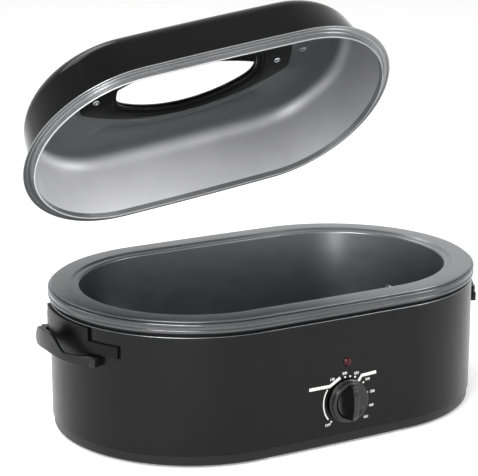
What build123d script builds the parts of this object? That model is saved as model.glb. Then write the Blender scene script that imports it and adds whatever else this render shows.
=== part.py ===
"""Electric roaster oven: an oval countertop cooker with an insert pan, a rack and a domed lid.

Units are millimetres. +Z is up and -Y is the front, with the control knob. The origin is on the
table, under the middle of the base. The lid is modelled closed and then turned to its rest pose,
tipped back above the pan.
"""
import os
from math import asin, atan2, cos, degrees, radians, sin, tan

from build123d import *

os.makedirs("parts", exist_ok=True)

# ---------------------------------------------------------------- driving dimensions
BODY_LENGTH = 560.0  # over the rolled top rim, along X
BODY_WIDTH = 356.0  # over the rolled top rim, along Y
BOW_RADIUS = 5600.0  # the long sides are bowed very slightly
RIM_TOP = 179.0  # table to the top of the pan's flange
GAP = 0.3  # between pieces that only lie next to each other
FIT = 0.05  # radial clearance of a running fit

# Outer shell
WALL_INSET = 2.2  # wall's outer face, in from the rolled rim
WALL_SHEET = 1.0
WALL_BOTTOM = 16.3
WALL_TOP = 160.0
RIM_SHEET = 0.8
RIM_SHELF = 176.4  # top of the shelf that carries the pan's flange
RIM_UNDERSIDE = 163.0
RIM_SKIRT_BOTTOM = 150.0
RING_INSET = 4.0
RING_TOP = 16.0
RING_BOTTOM = 3.0
COVER_BOTTOM = 5.8
COVER_SHEET = 1.0
FOOT_RADIUS = 11.0
PAD_RADIUS = 9.0
FOOT_X, FOOT_Y = 165.0, 95.0

# Heating well and pan
WELL_INSET = 30.0
WELL_SHEET = 0.8
WELL_BOTTOM = 52.0
PAN_OPENING_INSET = 38.0
PAN_SHEET = 1.2
PAN_BOTTOM = 60.0
PAN_TAPER = 4.5
PAN_CORNER_RADIUS = 20.0

# Controls, on the front wall
CONTROL_X = 10.0
KNOB_Z = 57.0
KNOB_RADIUS = 27.0
LAMP_Z = 105.0
SHAFT_RADIUS = 3.0

# Lid, in its closed place
LID_INSET = 32.0  # edge of the lid's rolled rim
LID_FLANGE_WIDTH = 13.0
LID_FLANGE_BOTTOM = RIM_TOP + 0.4
LID_TOP = 265.4
LID_SHEET = 1.0
LID_TAPER = 9.0
LID_SHOULDER = 30.0
LID_SCREW_X = 125.0
HANDLE_TOP = 306.0

# The line that the lid tips about, and how far it is tipped back at rest
LID_AXIS_POINT = (0.0, 210.6, 204.4)
LID_AXIS_YAW = 5.9
LID_AXIS_RISE = 11.1
LID_TILT = 53.0

# ---------------------------------------------------------------- derived dimensions
HALF_LENGTH = BODY_LENGTH / 2
HALF_WIDTH = BODY_WIDTH / 2
END_RADIUS = (2 * HALF_WIDTH * BOW_RADIUS - HALF_WIDTH**2 - HALF_LENGTH**2) / (2 * BOW_RADIUS - 2 * HALF_LENGTH)
END_CENTRE = HALF_LENGTH - END_RADIUS
BOW_CENTRE = BOW_RADIUS - HALF_WIDTH
END_SWEEP = degrees(atan2(BOW_CENTRE, END_CENTRE))  # half of the angle that each end arc turns through
BOW_SWEEP = 90 - END_SWEEP
FRONT = -(HALF_WIDTH - WALL_INSET)  # Y of the wall's outer face at the middle of the front
FRONT_INSIDE = FRONT + WALL_SHEET
BACK = -FRONT
BACK_INSIDE = -FRONT_INSIDE
SECTION_PLANE = Plane(origin=(0, -HALF_WIDTH, 0), x_dir=(0, -1, 0), z_dir=(-1, 0, 0))
LID_AXIS = Axis(
    LID_AXIS_POINT,
    (
        cos(radians(LID_AXIS_RISE)) * cos(radians(LID_AXIS_YAW)),
        cos(radians(LID_AXIS_RISE)) * sin(radians(LID_AXIS_YAW)),
        sin(radians(LID_AXIS_RISE)),
    ),
)


# ---------------------------------------------------------------- shared shapes
def save(piece, name, lid=False):
    """Name a finished piece and write it. The lid's pieces are turned to their rest pose first."""
    shape = piece.part.rotate(LID_AXIS, -LID_TILT) if lid else piece.part
    shape.label = name
    export_step(shape, f"parts/{name}.step")


def outline_path(inset=0.0, z=0.0):
    """The body's oval as a closed wire that starts at the middle of the front."""
    bow, end = BOW_RADIUS - inset, END_RADIUS - inset
    with BuildLine(Plane.XY.offset(z), mode=Mode.PRIVATE) as path:
        CenterArc((0, BOW_CENTRE), bow, -90, BOW_SWEEP)
        CenterArc((END_CENTRE, 0), end, -END_SWEEP, 2 * END_SWEEP)
        CenterArc((0, -BOW_CENTRE), bow, END_SWEEP, 2 * BOW_SWEEP)
        CenterArc((-END_CENTRE, 0), end, 180 - END_SWEEP, 2 * END_SWEEP)
        CenterArc((0, BOW_CENTRE), bow, -90 - BOW_SWEEP, BOW_SWEEP)
    return path.wire()


def outline(inset, z):
    """The body's oval as a face at height z, moved in by inset."""
    with BuildSketch(Plane.XY.offset(z), mode=Mode.PRIVATE) as face:
        with BuildLine():
            add(outline_path(inset))
        make_face()
    return face.sketch


def sheet_section(points, radii, thickness):
    """Section of a bent sheet that runs round the body, from (inset, height) points."""
    with BuildSketch(SECTION_PLANE, mode=Mode.PRIVATE) as section:
        with BuildLine():
            FilletPolyline(*[(-inset, height) for inset, height in points], radius=radii)
        trace(line_width=thickness)
    return section.sketch


def solid_section(points, rounding):
    """Section of a solid bar that runs round the body, with chosen corners rounded."""
    with BuildSketch(SECTION_PLANE, mode=Mode.PRIVATE) as section:
        with BuildLine():
            Polyline(*[(-inset, height) for inset, height in points], close=True)
        make_face()
        for (inset, height), radius in rounding.items():
            corner = Vector(-inset, height, 0)
            fillet(section.vertices().sort_by_distance(corner)[0], radius)
    return section.sketch


def lens(half_length, half_width, end_half_width, corner, z):
    """Window outline: two shallow arcs joined by short straight ends."""
    with BuildSketch(Plane.XY.offset(z), mode=Mode.PRIVATE) as face:
        with BuildLine():
            ThreePointArc((-half_length, end_half_width), (0, half_width), (half_length, end_half_width))
            Line((half_length, end_half_width), (half_length, -end_half_width))
            ThreePointArc((half_length, -end_half_width), (0, -half_width), (-half_length, -end_half_width))
            Line((-half_length, -end_half_width), (-half_length, end_half_width))
        make_face()
        fillet(face.vertices(), corner)
    return face.sketch


def wire(points, radii, radius):
    """A round wire or tube along straight runs joined by tangent arcs."""
    with BuildPart(mode=Mode.PRIVATE) as tube:
        with BuildLine() as path:
            FilletPolyline(*points, radius=radii)
        with BuildSketch(path.line ^ 0):
            Circle(radius)
        sweep()
    return tube.part


def drawn(inset, z, depth, taper, corner):
    """The solid form of a drawn vessel: an oval that narrows away from z, with a rounded end."""
    with BuildPart(mode=Mode.PRIVATE) as form:
        extrude(outline(inset, z), amount=depth, taper=taper)
        far_end = form.edges().group_by(Axis.Z)[-1 if depth > 0 else 0]
        fillet(far_end, corner)
    return form.part


# ---------------------------------------------------------------- outer shell of the base
RIM_CENTRE = RIM_SHELF - RIM_SHEET / 2
with BuildPart() as top_rim:
    rim_line = [
        (WELL_INSET - 3, RIM_CENTRE),
        (RIM_SHEET / 2, RIM_CENTRE),
        (RIM_SHEET / 2, RIM_UNDERSIDE + RIM_SHEET / 2),
        (5.9, RIM_UNDERSIDE + RIM_SHEET / 2),
        (5.9, RIM_SKIRT_BOTTOM),
    ]
    sweep(sheet_section(rim_line, [5.0, 3.0, 1.5], RIM_SHEET), path=outline_path())
save(top_rim, "top_rim")

WALL_CENTRE = WALL_INSET + WALL_SHEET / 2
GRIP_SCREW_ANGLE = 23.0
HANDLE_SCREW_Z = 119.0
CORD_X, CORD_Z = 60.0, 44.0
with BuildPart() as housing_wall:
    wall_line = [
        (WALL_CENTRE, WALL_BOTTOM),
        (WALL_CENTRE, WALL_TOP - WALL_SHEET / 2),
        (5.1, WALL_TOP - WALL_SHEET / 2),
    ]
    sweep(sheet_section(wall_line, 1.2, WALL_SHEET), path=outline_path())
    # Holes for the thermostat's bushing and the indicator lens
    with Locations(Plane.XZ.offset(-FRONT)):
        for hole_z, hole_radius in ((KNOB_Z, 5.2), (LAMP_Z, 4.4)):
            with Locations((CONTROL_X, hole_z)):
                Cylinder(hole_radius, 12, mode=Mode.SUBTRACT)
    # Hole for the cord's grommet
    with Locations(Plane.XZ.offset(-BACK)):
        with Locations((CORD_X, CORD_Z)):
            Cylinder(6.0, 12, mode=Mode.SUBTRACT)
    # Holes for the screws of both lifting handles
    for end in (1, -1):
        for angle in (-GRIP_SCREW_ANGLE, GRIP_SCREW_ANGLE):
            direction = Vector(end * cos(radians(angle)), sin(radians(angle)), 0)
            centre = Vector(end * END_CENTRE, 0, HANDLE_SCREW_Z) + direction * (END_RADIUS - WALL_INSET)
            with Locations(Plane(origin=centre, z_dir=direction)):
                Cylinder(2.6, 8, mode=Mode.SUBTRACT)
save(housing_wall, "housing_wall")

COVER_SCREWS = [(x, y) for x in (-90, 90) for y in (-166.0, 166.0)] + [(-266.0, 0), (266.0, 0)]
with BuildPart() as base_ring:
    ring_corners = [
        (RING_INSET, RING_BOTTOM),
        (18, RING_BOTTOM),
        (18, COVER_BOTTOM - 0.2),
        (6.6, COVER_BOTTOM - 0.2),
        (6.6, RING_TOP + 10),
        (WALL_INSET + WALL_SHEET + 0.4, RING_TOP + 10),
        (WALL_INSET + WALL_SHEET + 0.4, RING_TOP),
        (RING_INSET, RING_TOP),
    ]
    sweep(solid_section(ring_corners, {(RING_INSET, RING_BOTTOM): 2.2}), path=outline_path())
    with Locations(Plane.XY.offset(RING_BOTTOM)):
        with Locations(*COVER_SCREWS):
            Cylinder(2.2, 12, mode=Mode.SUBTRACT)
save(base_ring, "base_ring")

with BuildPart() as bottom_cover:
    extrude(outline(7.0, COVER_BOTTOM), amount=COVER_SHEET)
    # Cooling slots under the middle
    with BuildSketch(Plane.XY.offset(COVER_BOTTOM)):
        with GridLocations(26, 60, 9, 2):
            SlotOverall(40, 5, rotation=90)
    extrude(amount=COVER_SHEET, mode=Mode.SUBTRACT)
    with Locations(Plane.XY.offset(COVER_BOTTOM)):
        with Locations(*COVER_SCREWS):
            Cylinder(2.2, 6, mode=Mode.SUBTRACT)
        with GridLocations(2 * FOOT_X, 2 * FOOT_Y, 2, 2):
            Cylinder(2.2, 6, mode=Mode.SUBTRACT)
    # Rolled beads that stiffen the cover
    with BuildSketch(Plane.XY.offset(COVER_BOTTOM + COVER_SHEET)):
        with GridLocations(0, 262, 1, 2):
            SlotOverall(260, 7)
    extrude(amount=1.6)
save(bottom_cover, "bottom_cover")

with BuildPart() as cover_screws:
    for x, y in COVER_SCREWS:
        with BuildSketch(Plane.XY.offset(RING_BOTTOM - 2.0)):
            with Locations((x, y)):
                Circle(4.0)
        extrude(amount=1.9)
        with BuildSketch(Plane.XY.offset(RING_BOTTOM - 0.2)):
            with Locations((x, y)):
                Circle(2.0)
        extrude(amount=9)
    chamfer(cover_screws.edges().group_by(Axis.Z)[0], 0.7)
save(cover_screws, "cover_screws")

with BuildPart() as feet:
    with GridLocations(2 * FOOT_X, 2 * FOOT_Y, 2, 2):
        Cylinder(FOOT_RADIUS, COVER_BOTTOM - 0.05, align=(Align.CENTER, Align.CENTER, Align.MIN))
        Cylinder(2.1, 20, mode=Mode.SUBTRACT)
        Cylinder(5.0, 6.2, mode=Mode.SUBTRACT)
    # A glued pad under the middle keeps the wide cover from drumming
    Cylinder(PAD_RADIUS, COVER_BOTTOM - 0.05, align=(Align.CENTER, Align.CENTER, Align.MIN))
    fillet(feet.edges().group_by(Axis.Z)[0].sort_by(SortBy.RADIUS)[-5:], 1.2)
save(feet, "feet")

with BuildPart() as foot_screws:
    with BuildSketch(Plane.XY.offset(0.7)):
        with GridLocations(2 * FOOT_X, 2 * FOOT_Y, 2, 2):
            Circle(4.0)
    extrude(amount=2.3)
    with BuildSketch(Plane.XY.offset(2.5)):
        with GridLocations(2 * FOOT_X, 2 * FOOT_Y, 2, 2):
            Circle(2.0)
    extrude(amount=9.0)
save(foot_screws, "foot_screws")

# ---------------------------------------------------------------- lifting handles
HANDLE_PLATE_INNER = END_RADIUS - WALL_INSET + 0.05
HANDLE_PLATE_OUTER = HANDLE_PLATE_INNER + 3.6
GRIP_REACH = 23.0  # how far the grip stands out past the rolled rim
GRIP_HALF_SPAN = 70.0
GRIP_THICKNESS = 5.5
GRIP_BOTTOM, GRIP_LOW_TOP, GRIP_LIP_TOP = 111.0, 127.0, 151.5
PLATE_HALF_ANGLE = 19.0
TAB_HALF_ANGLE = 33.0


def end_sector(inner, outer, half_angle, z):
    """A curved strip that follows the right-hand end of the body."""
    with BuildSketch(Plane.XY.offset(z), mode=Mode.PRIVATE) as sector:
        with Locations((END_CENTRE, 0)):
            Circle(outer)
            Circle(inner, mode=Mode.SUBTRACT)
        with BuildLine():
            reach = 2 * outer
            Polyline(
                (END_CENTRE, 0),
                (END_CENTRE + reach * cos(radians(half_angle)), reach * sin(radians(half_angle))),
                (END_CENTRE + reach * cos(radians(half_angle)), -reach * sin(radians(half_angle))),
                close=True,
            )
        make_face(mode=Mode.INTERSECT)
    return sector.sketch


for side in ("right", "left"):
    with BuildPart() as handle_plate:
        extrude(end_sector(HANDLE_PLATE_INNER, HANDLE_PLATE_OUTER, PLATE_HALF_ANGLE, 113.0), amount=45.0)
        extrude(end_sector(HANDLE_PLATE_INNER, HANDLE_PLATE_OUTER, TAB_HALF_ANGLE, 128.0), amount=15.0)
        fillet(handle_plate.edges().filter_by(GeomType.CIRCLE).group_by(SortBy.RADIUS)[-1], 0.8)
        for angle in (-GRIP_SCREW_ANGLE, GRIP_SCREW_ANGLE):
            direction = Vector(cos(radians(angle)), sin(radians(angle)), 0)
            centre = Vector(END_CENTRE, 0, HANDLE_SCREW_Z) + direction * HANDLE_PLATE_INNER
            with Locations(Plane(origin=centre, x_dir=(0, 0, 1), z_dir=direction)):
                Box(GRIP_LOW_TOP - GRIP_BOTTOM + 0.4, 14.9, 20, mode=Mode.SUBTRACT)
        if side == "left":
            mirror(about=Plane.YZ, mode=Mode.REPLACE)
    save(handle_plate, f"{side}_handle_plate")

    with BuildPart() as grip:
        # Plan of the loop, a half oval band that stands out from the end
        with BuildSketch(Plane.XY.offset(GRIP_BOTTOM - 2)):
            with Locations((HALF_LENGTH - 18, 0)):
                Ellipse(GRIP_REACH + 18, GRIP_HALF_SPAN)
                Ellipse(GRIP_REACH + 18 - GRIP_THICKNESS, GRIP_HALF_SPAN - GRIP_THICKNESS - 1.5, mode=Mode.SUBTRACT)
        extrude(amount=GRIP_LIP_TOP - GRIP_BOTTOM + 4)
        # Side view of the loop: low where it meets the body, with a raised lip to hold
        tip = HALF_LENGTH + GRIP_REACH
        with BuildSketch(Plane.XZ):
            with BuildLine():
                Line((HALF_LENGTH - 40, GRIP_BOTTOM), (HALF_LENGTH + 2, GRIP_BOTTOM))
                RadiusArc((HALF_LENGTH + 2, GRIP_BOTTOM), (tip + 1, GRIP_BOTTOM + 17), -45)
                Line((tip + 1, GRIP_BOTTOM + 17), (tip + 1, GRIP_LIP_TOP))
                Line((tip + 1, GRIP_LIP_TOP), (tip - 7, GRIP_LIP_TOP))
                RadiusArc((tip - 7, GRIP_LIP_TOP), (tip - 28, GRIP_LOW_TOP), 28)
                Line((tip - 28, GRIP_LOW_TOP), (HALF_LENGTH - 40, GRIP_LOW_TOP))
                Line((HALF_LENGTH - 40, GRIP_LOW_TOP), (HALF_LENGTH - 40, GRIP_BOTTOM))
            make_face()
        extrude(amount=GRIP_HALF_SPAN + 5, both=True, mode=Mode.INTERSECT)
        # Feet that sit on the wall, with a pilot hole for each screw
        for turn in (-GRIP_SCREW_ANGLE, GRIP_SCREW_ANGLE):
            direction = Vector(cos(radians(turn)), sin(radians(turn)), 0)
            centre = Vector(END_CENTRE, 0, HANDLE_SCREW_Z) + direction * HANDLE_PLATE_INNER
            with Locations(Plane(origin=centre + direction * 8, x_dir=(0, 0, 1), z_dir=direction)):
                Box(GRIP_LOW_TOP - GRIP_BOTTOM, 14.5, 16)
        with BuildSketch(Plane.XY.offset(GRIP_BOTTOM - 5)):
            with Locations((END_CENTRE, 0)):
                Circle(HANDLE_PLATE_INNER + 0.05)
        extrude(amount=60, mode=Mode.SUBTRACT)
        for turn in (-GRIP_SCREW_ANGLE, GRIP_SCREW_ANGLE):
            direction = Vector(cos(radians(turn)), sin(radians(turn)), 0)
            centre = Vector(END_CENTRE, 0, HANDLE_SCREW_Z) + direction * HANDLE_PLATE_INNER
            with Locations(Plane(origin=centre + direction * 5, z_dir=direction)):
                Cylinder(2.1, 14, mode=Mode.SUBTRACT)
        fillet(grip.edges().group_by(Axis.Z)[-1], 1.5)
        if side == "left":
            mirror(about=Plane.YZ, mode=Mode.REPLACE)
    save(grip, f"{side}_handle")

with BuildPart() as handle_screws:
    for end in (1, -1):
        for angle in (-GRIP_SCREW_ANGLE, GRIP_SCREW_ANGLE):
            direction = Vector(end * cos(radians(angle)), sin(radians(angle)), 0)
            inside = Vector(end * END_CENTRE, 0, HANDLE_SCREW_Z) + direction * (
                END_RADIUS - WALL_INSET - WALL_SHEET - 0.1
            )
            with BuildSketch(Plane(origin=inside, z_dir=direction)):
                Circle(4.2)
            extrude(amount=-2.4)
            with BuildSketch(Plane(origin=inside, z_dir=direction)):
                Circle(2.0)
            extrude(amount=11.5)
save(handle_screws, "handle_screws")

# ---------------------------------------------------------------- heating well and heater
with BuildPart() as heating_well:
    extrude(outline(WELL_INSET, WELL_BOTTOM), amount=RIM_CENTRE - 1.0 - WELL_BOTTOM)
    fillet(heating_well.edges().group_by(Axis.Z)[0], 14)
    offset(amount=-WELL_SHEET, openings=heating_well.faces().sort_by(Axis.Z)[-1])
    # Flange that hangs under the rim's shelf
    extrude(outline(13, RIM_CENTRE - 1.0 - WELL_SHEET), amount=WELL_SHEET)
    extrude(outline(WELL_INSET + WELL_SHEET, RIM_CENTRE - 4.0), amount=6, mode=Mode.SUBTRACT)
save(heating_well, "heating_well")

ELEMENT_BOTTOM, ELEMENT_TOP = 68.0, 104.0
ELEMENT_THICKNESS = 1.7
with BuildPart() as heating_element:
    height = ELEMENT_TOP - ELEMENT_BOTTOM
    extrude(outline(WELL_INSET - GAP - ELEMENT_THICKNESS, ELEMENT_BOTTOM), amount=height)
    extrude(outline(WELL_INSET - GAP, ELEMENT_BOTTOM), amount=height, mode=Mode.SUBTRACT)
    # The band's ends meet at the back
    with Locations((0, HALF_WIDTH - WELL_INSET, ELEMENT_BOTTOM + height / 2)):
        Box(16, 10, height + 2, mode=Mode.SUBTRACT)
save(heating_element, "heating_element")

TERMINAL_X = 20.0
ELEMENT_FACE = HALF_WIDTH - WELL_INSET + GAP + ELEMENT_THICKNESS  # band's outer face at the middle
with BuildPart() as element_terminals:
    for x in (-TERMINAL_X, TERMINAL_X):
        with Locations((x, ELEMENT_FACE + 0.7, ELEMENT_BOTTOM + 2)):
            Box(7, 1.2, 16)
save(element_terminals, "element_terminals")

with BuildPart() as element_clips:
    for x in (-85, 85):
        for sign in (-1, 1):
            with BuildSketch(Plane.YZ.offset(x)):
                with BuildLine():
                    face = sign * (HALF_WIDTH - WELL_INSET + 0.6)
                    bridge = sign * (ELEMENT_FACE + 0.8)
                    FilletPolyline(
                        (face, ELEMENT_BOTTOM - 8),
                        (face, ELEMENT_BOTTOM - 2),
                        (bridge, ELEMENT_BOTTOM - 2),
                        (bridge, ELEMENT_TOP + 2),
                        (face, ELEMENT_TOP + 2),
                        (face, ELEMENT_TOP + 8),
                        radius=0.6,
                    )
                trace(line_width=0.6)
            extrude(amount=5, both=True)
save(element_clips, "element_clips")

with BuildPart() as insulation:
    extrude(outline(13, 46), amount=92)
    extrude(outline(25, 46), amount=92, mode=Mode.SUBTRACT)
    with Locations((CONTROL_X, -HALF_WIDTH, 92), (CONTROL_X, HALF_WIDTH, 92)):
        Box(110, 80, 100, mode=Mode.SUBTRACT)
save(insulation, "insulation")

# ---------------------------------------------------------------- thermostat, knob and lamp
FRONT_PLANE = Plane(origin=(CONTROL_X, FRONT, KNOB_Z), x_dir=(1, 0, 0), z_dir=(0, -1, 0))
BRACKET_SHEET = 1.2
THERMOSTAT_DEPTH = 15.0
with BuildPart() as thermostat_bracket:
    with BuildSketch(FRONT_PLANE.offset(-WALL_SHEET - 0.1)):
        RectangleRounded(46, 38, 4)
        Circle(5.2, mode=Mode.SUBTRACT)
    extrude(amount=-BRACKET_SHEET)
save(thermostat_bracket, "thermostat_bracket")

THERMOSTAT_FACE = -WALL_SHEET - 0.1 - BRACKET_SHEET - 0.05
with BuildPart() as thermostat:
    with BuildSketch(FRONT_PLANE.offset(THERMOSTAT_FACE)):
        RectangleRounded(34, 28, 3)
    extrude(amount=-THERMOSTAT_DEPTH)
    with BuildSketch(FRONT_PLANE.offset(THERMOSTAT_FACE)):
        Circle(5.0)
    extrude(amount=7.5)
    # Contact tabs on the underside
    for x in (-9, 9):
        with Locations((CONTROL_X + x, FRONT - THERMOSTAT_FACE + 9, KNOB_Z - 17)):
            Box(5, 0.8, 7)
    with BuildSketch(FRONT_PLANE.offset(THERMOSTAT_FACE + 7.5)):
        Circle(SHAFT_RADIUS + FIT)
    extrude(amount=-14, mode=Mode.SUBTRACT)
save(thermostat, "thermostat")

with BuildPart() as thermostat_nut:
    with BuildSketch(FRONT_PLANE.offset(0.1)):
        RegularPolygon(8, 6)
        Circle(5.05, mode=Mode.SUBTRACT)
    extrude(amount=2.6)
save(thermostat_nut, "thermostat_nut")

SHAFT_INNER = THERMOSTAT_FACE + 7.5 - 13.5
SHAFT_OUTER = 18.0
SHAFT_FLAT = 1.0
with BuildPart() as thermostat_shaft:
    with BuildSketch(FRONT_PLANE.offset(SHAFT_INNER)):
        Circle(SHAFT_RADIUS)
    extrude(amount=SHAFT_OUTER - SHAFT_INNER)
    with Locations(FRONT_PLANE.offset(SHAFT_OUTER - 5)):
        with Locations((0, SHAFT_RADIUS - SHAFT_FLAT + 2)):
            Box(10, 4, 13, mode=Mode.SUBTRACT)
save(thermostat_shaft, "thermostat_shaft")

KNOB_GAP = 1.6
KNOB_SKIRT = 9.0
KNOB_BLADE = 14.0
with BuildPart() as knob:
    with BuildSketch(FRONT_PLANE.offset(KNOB_GAP)):
        Circle(KNOB_RADIUS)
    extrude(amount=KNOB_SKIRT, taper=7)
    fillet(knob.edges().group_by(Axis.Y)[0], 3.0)
    # Grip blade across the face
    with BuildSketch(FRONT_PLANE.offset(KNOB_GAP + KNOB_SKIRT - 2)):
        SlotOverall(47, 13, rotation=90)
    extrude(amount=KNOB_BLADE + 2, taper=9)
    fillet(knob.edges().group_by(Axis.Y)[0], 2.0)
    # Hollow underside round the hub
    with BuildSketch(FRONT_PLANE.offset(KNOB_GAP)):
        Circle(KNOB_RADIUS - 3.5)
        Circle(12.0, mode=Mode.SUBTRACT)
    extrude(amount=KNOB_SKIRT - 4.5, mode=Mode.SUBTRACT)
    # Relief over the bushing and its nut
    with BuildSketch(FRONT_PLANE.offset(KNOB_GAP)):
        Circle(9.0)
    extrude(amount=5.0, mode=Mode.SUBTRACT)
    # Bore with a flat, and a slot for the spring
    with BuildSketch(FRONT_PLANE.offset(KNOB_GAP)):
        Circle(SHAFT_RADIUS + 0.05)
        with Locations((0, SHAFT_RADIUS - SHAFT_FLAT + 2.9)):
            Rectangle(10, 4, mode=Mode.SUBTRACT)
    extrude(amount=SHAFT_OUTER - KNOB_GAP + 0.5, mode=Mode.SUBTRACT)
save(knob, "knob")

with BuildPart() as knob_spring:
    with Locations(FRONT_PLANE.offset(SHAFT_OUTER - 5)):
        with Locations((0, SHAFT_RADIUS - SHAFT_FLAT + 0.45)):
            Box(2.4, 0.5, 8)
save(knob_spring, "knob_spring")

LAMP_PLANE = Plane(origin=(CONTROL_X, FRONT, LAMP_Z), x_dir=(1, 0, 0), z_dir=(0, -1, 0))
with BuildPart() as indicator_lens:
    with BuildSketch(LAMP_PLANE.offset(0.05)):
        Circle(5.5)
    extrude(amount=3.6)
    fillet(indicator_lens.edges().group_by(Axis.Y)[0], 3.2)
    with BuildSketch(LAMP_PLANE.offset(0.05)):
        Circle(4.2)
    extrude(amount=-8)
    with BuildSketch(LAMP_PLANE.offset(1.2)):
        Circle(3.2)
    extrude(amount=-12, mode=Mode.SUBTRACT)
save(indicator_lens, "indicator_lens")

with BuildPart() as lens_nut:
    with BuildSketch(LAMP_PLANE.offset(-WALL_SHEET - 0.1)):
        Circle(7.5)
        Circle(4.25, mode=Mode.SUBTRACT)
    extrude(amount=-0.8)
save(lens_nut, "lens_nut")

with BuildPart() as neon_lamp:
    with BuildSketch(LAMP_PLANE.offset(0.6)):
        Circle(2.6)
    extrude(amount=-13)
    fillet(neon_lamp.edges().group_by(Axis.Y)[0], 2.2)
save(neon_lamp, "neon_lamp")

# ---------------------------------------------------------------- sensor, fuse, terminals, cord inlet
UNDER_WELL = WELL_BOTTOM - 0.2
BULB_Y, BULB_RADIUS = -70.0, 3.0
with BuildPart() as sensing_bulb:
    with Locations((CONTROL_X, BULB_Y, UNDER_WELL - BULB_RADIUS)):
        Cylinder(BULB_RADIUS, 70, rotation=(0, 90, 0))
    fillet(sensing_bulb.edges(), 1.2)
    add(
        wire(
            [
                (CONTROL_X + 34.5, BULB_Y, UNDER_WELL - BULB_RADIUS),
                (CONTROL_X + 62, BULB_Y, UNDER_WELL - BULB_RADIUS),
                (CONTROL_X + 62, BULB_Y - 40, 36),
                (CONTROL_X, FRONT - THERMOSTAT_FACE + 6, 30),
                (CONTROL_X, FRONT - THERMOSTAT_FACE + 6, KNOB_Z - 13.5),
            ],
            [10, 14, 6],
            0.9,
        )
    )
save(sensing_bulb, "sensing_bulb")

FUSE_Y, FUSE_RADIUS = 70.0, 3.4
with BuildPart() as thermal_fuse:
    with Locations((-40, FUSE_Y, UNDER_WELL - FUSE_RADIUS)):
        Cylinder(FUSE_RADIUS, 46, rotation=(0, 90, 0))
    fillet(thermal_fuse.edges(), 1.0)
save(thermal_fuse, "thermal_fuse")

with BuildPart() as well_clips:
    for x, y, radius in (
        (CONTROL_X - 22, BULB_Y, BULB_RADIUS),
        (CONTROL_X + 22, BULB_Y, BULB_RADIUS),
        (-40, FUSE_Y, FUSE_RADIUS),
    ):
        with BuildSketch(Plane.YZ.offset(x)):
            with BuildLine():
                strap = radius + 0.6
                top = UNDER_WELL - 0.4
                low = UNDER_WELL - 2 * radius - 0.6
                FilletPolyline(
                    (y - strap - 8, top),
                    (y - strap, top),
                    (y - strap, low),
                    (y + strap, low),
                    (y + strap, top),
                    (y + strap + 8, top),
                    radius=0.6,
                )
            trace(line_width=0.6)
        extrude(amount=4, both=True)
save(well_clips, "well_clips")

BLOCK_X, BLOCK_Y = 70.0, 105.0
BLOCK_BOTTOM = COVER_BOTTOM + COVER_SHEET + 0.05
BLOCK_HEIGHT = 16.0
POLES = {"live": BLOCK_X - 14, "neutral": BLOCK_X, "earth": BLOCK_X + 14}
with BuildPart() as terminal_block:
    with Locations((BLOCK_X, BLOCK_Y, BLOCK_BOTTOM + BLOCK_HEIGHT / 2)):
        Box(46, 20, BLOCK_HEIGHT)
    fillet(terminal_block.edges().filter_by(Axis.Z), 2)
    for pole_x in POLES.values():
        with Locations((pole_x, BLOCK_Y, BLOCK_BOTTOM + BLOCK_HEIGHT)):
            Cylinder(3.0, 5, mode=Mode.SUBTRACT)
save(terminal_block, "terminal_block")

with BuildPart() as cord_grommet:
    with BuildSketch(Plane.XZ.offset(-BACK - 0.1)):
        with Locations((CORD_X, CORD_Z)):
            Circle(10)
    extrude(amount=-4)
    fillet(cord_grommet.edges().group_by(Axis.Y)[-1], 1.5)
    with BuildSketch(Plane.XZ.offset(-BACK - 0.1)):
        with Locations((CORD_X, CORD_Z)):
            Circle(5.8)
    extrude(amount=4)
    with BuildSketch(Plane.XZ.offset(-BACK_INSIDE + 0.7)):
        with Locations((CORD_X, CORD_Z)):
            Circle(9)
    extrude(amount=3)
    with BuildSketch(Plane.XZ.offset(-BACK - 6)):
        with Locations((CORD_X, CORD_Z)):
            Circle(3.6)
    extrude(amount=20, mode=Mode.SUBTRACT)
save(cord_grommet, "cord_grommet")

with BuildPart() as earth_stud:
    with Locations((130, BLOCK_Y, BLOCK_BOTTOM)):
        Cylinder(2.5, 12, align=(Align.CENTER, Align.CENTER, Align.MIN))
    with BuildSketch(Plane.XY.offset(BLOCK_BOTTOM)):
        with Locations((130, BLOCK_Y)):
            RegularPolygon(4.6, 6)
    extrude(amount=4)
save(earth_stud, "earth_stud")

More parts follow.
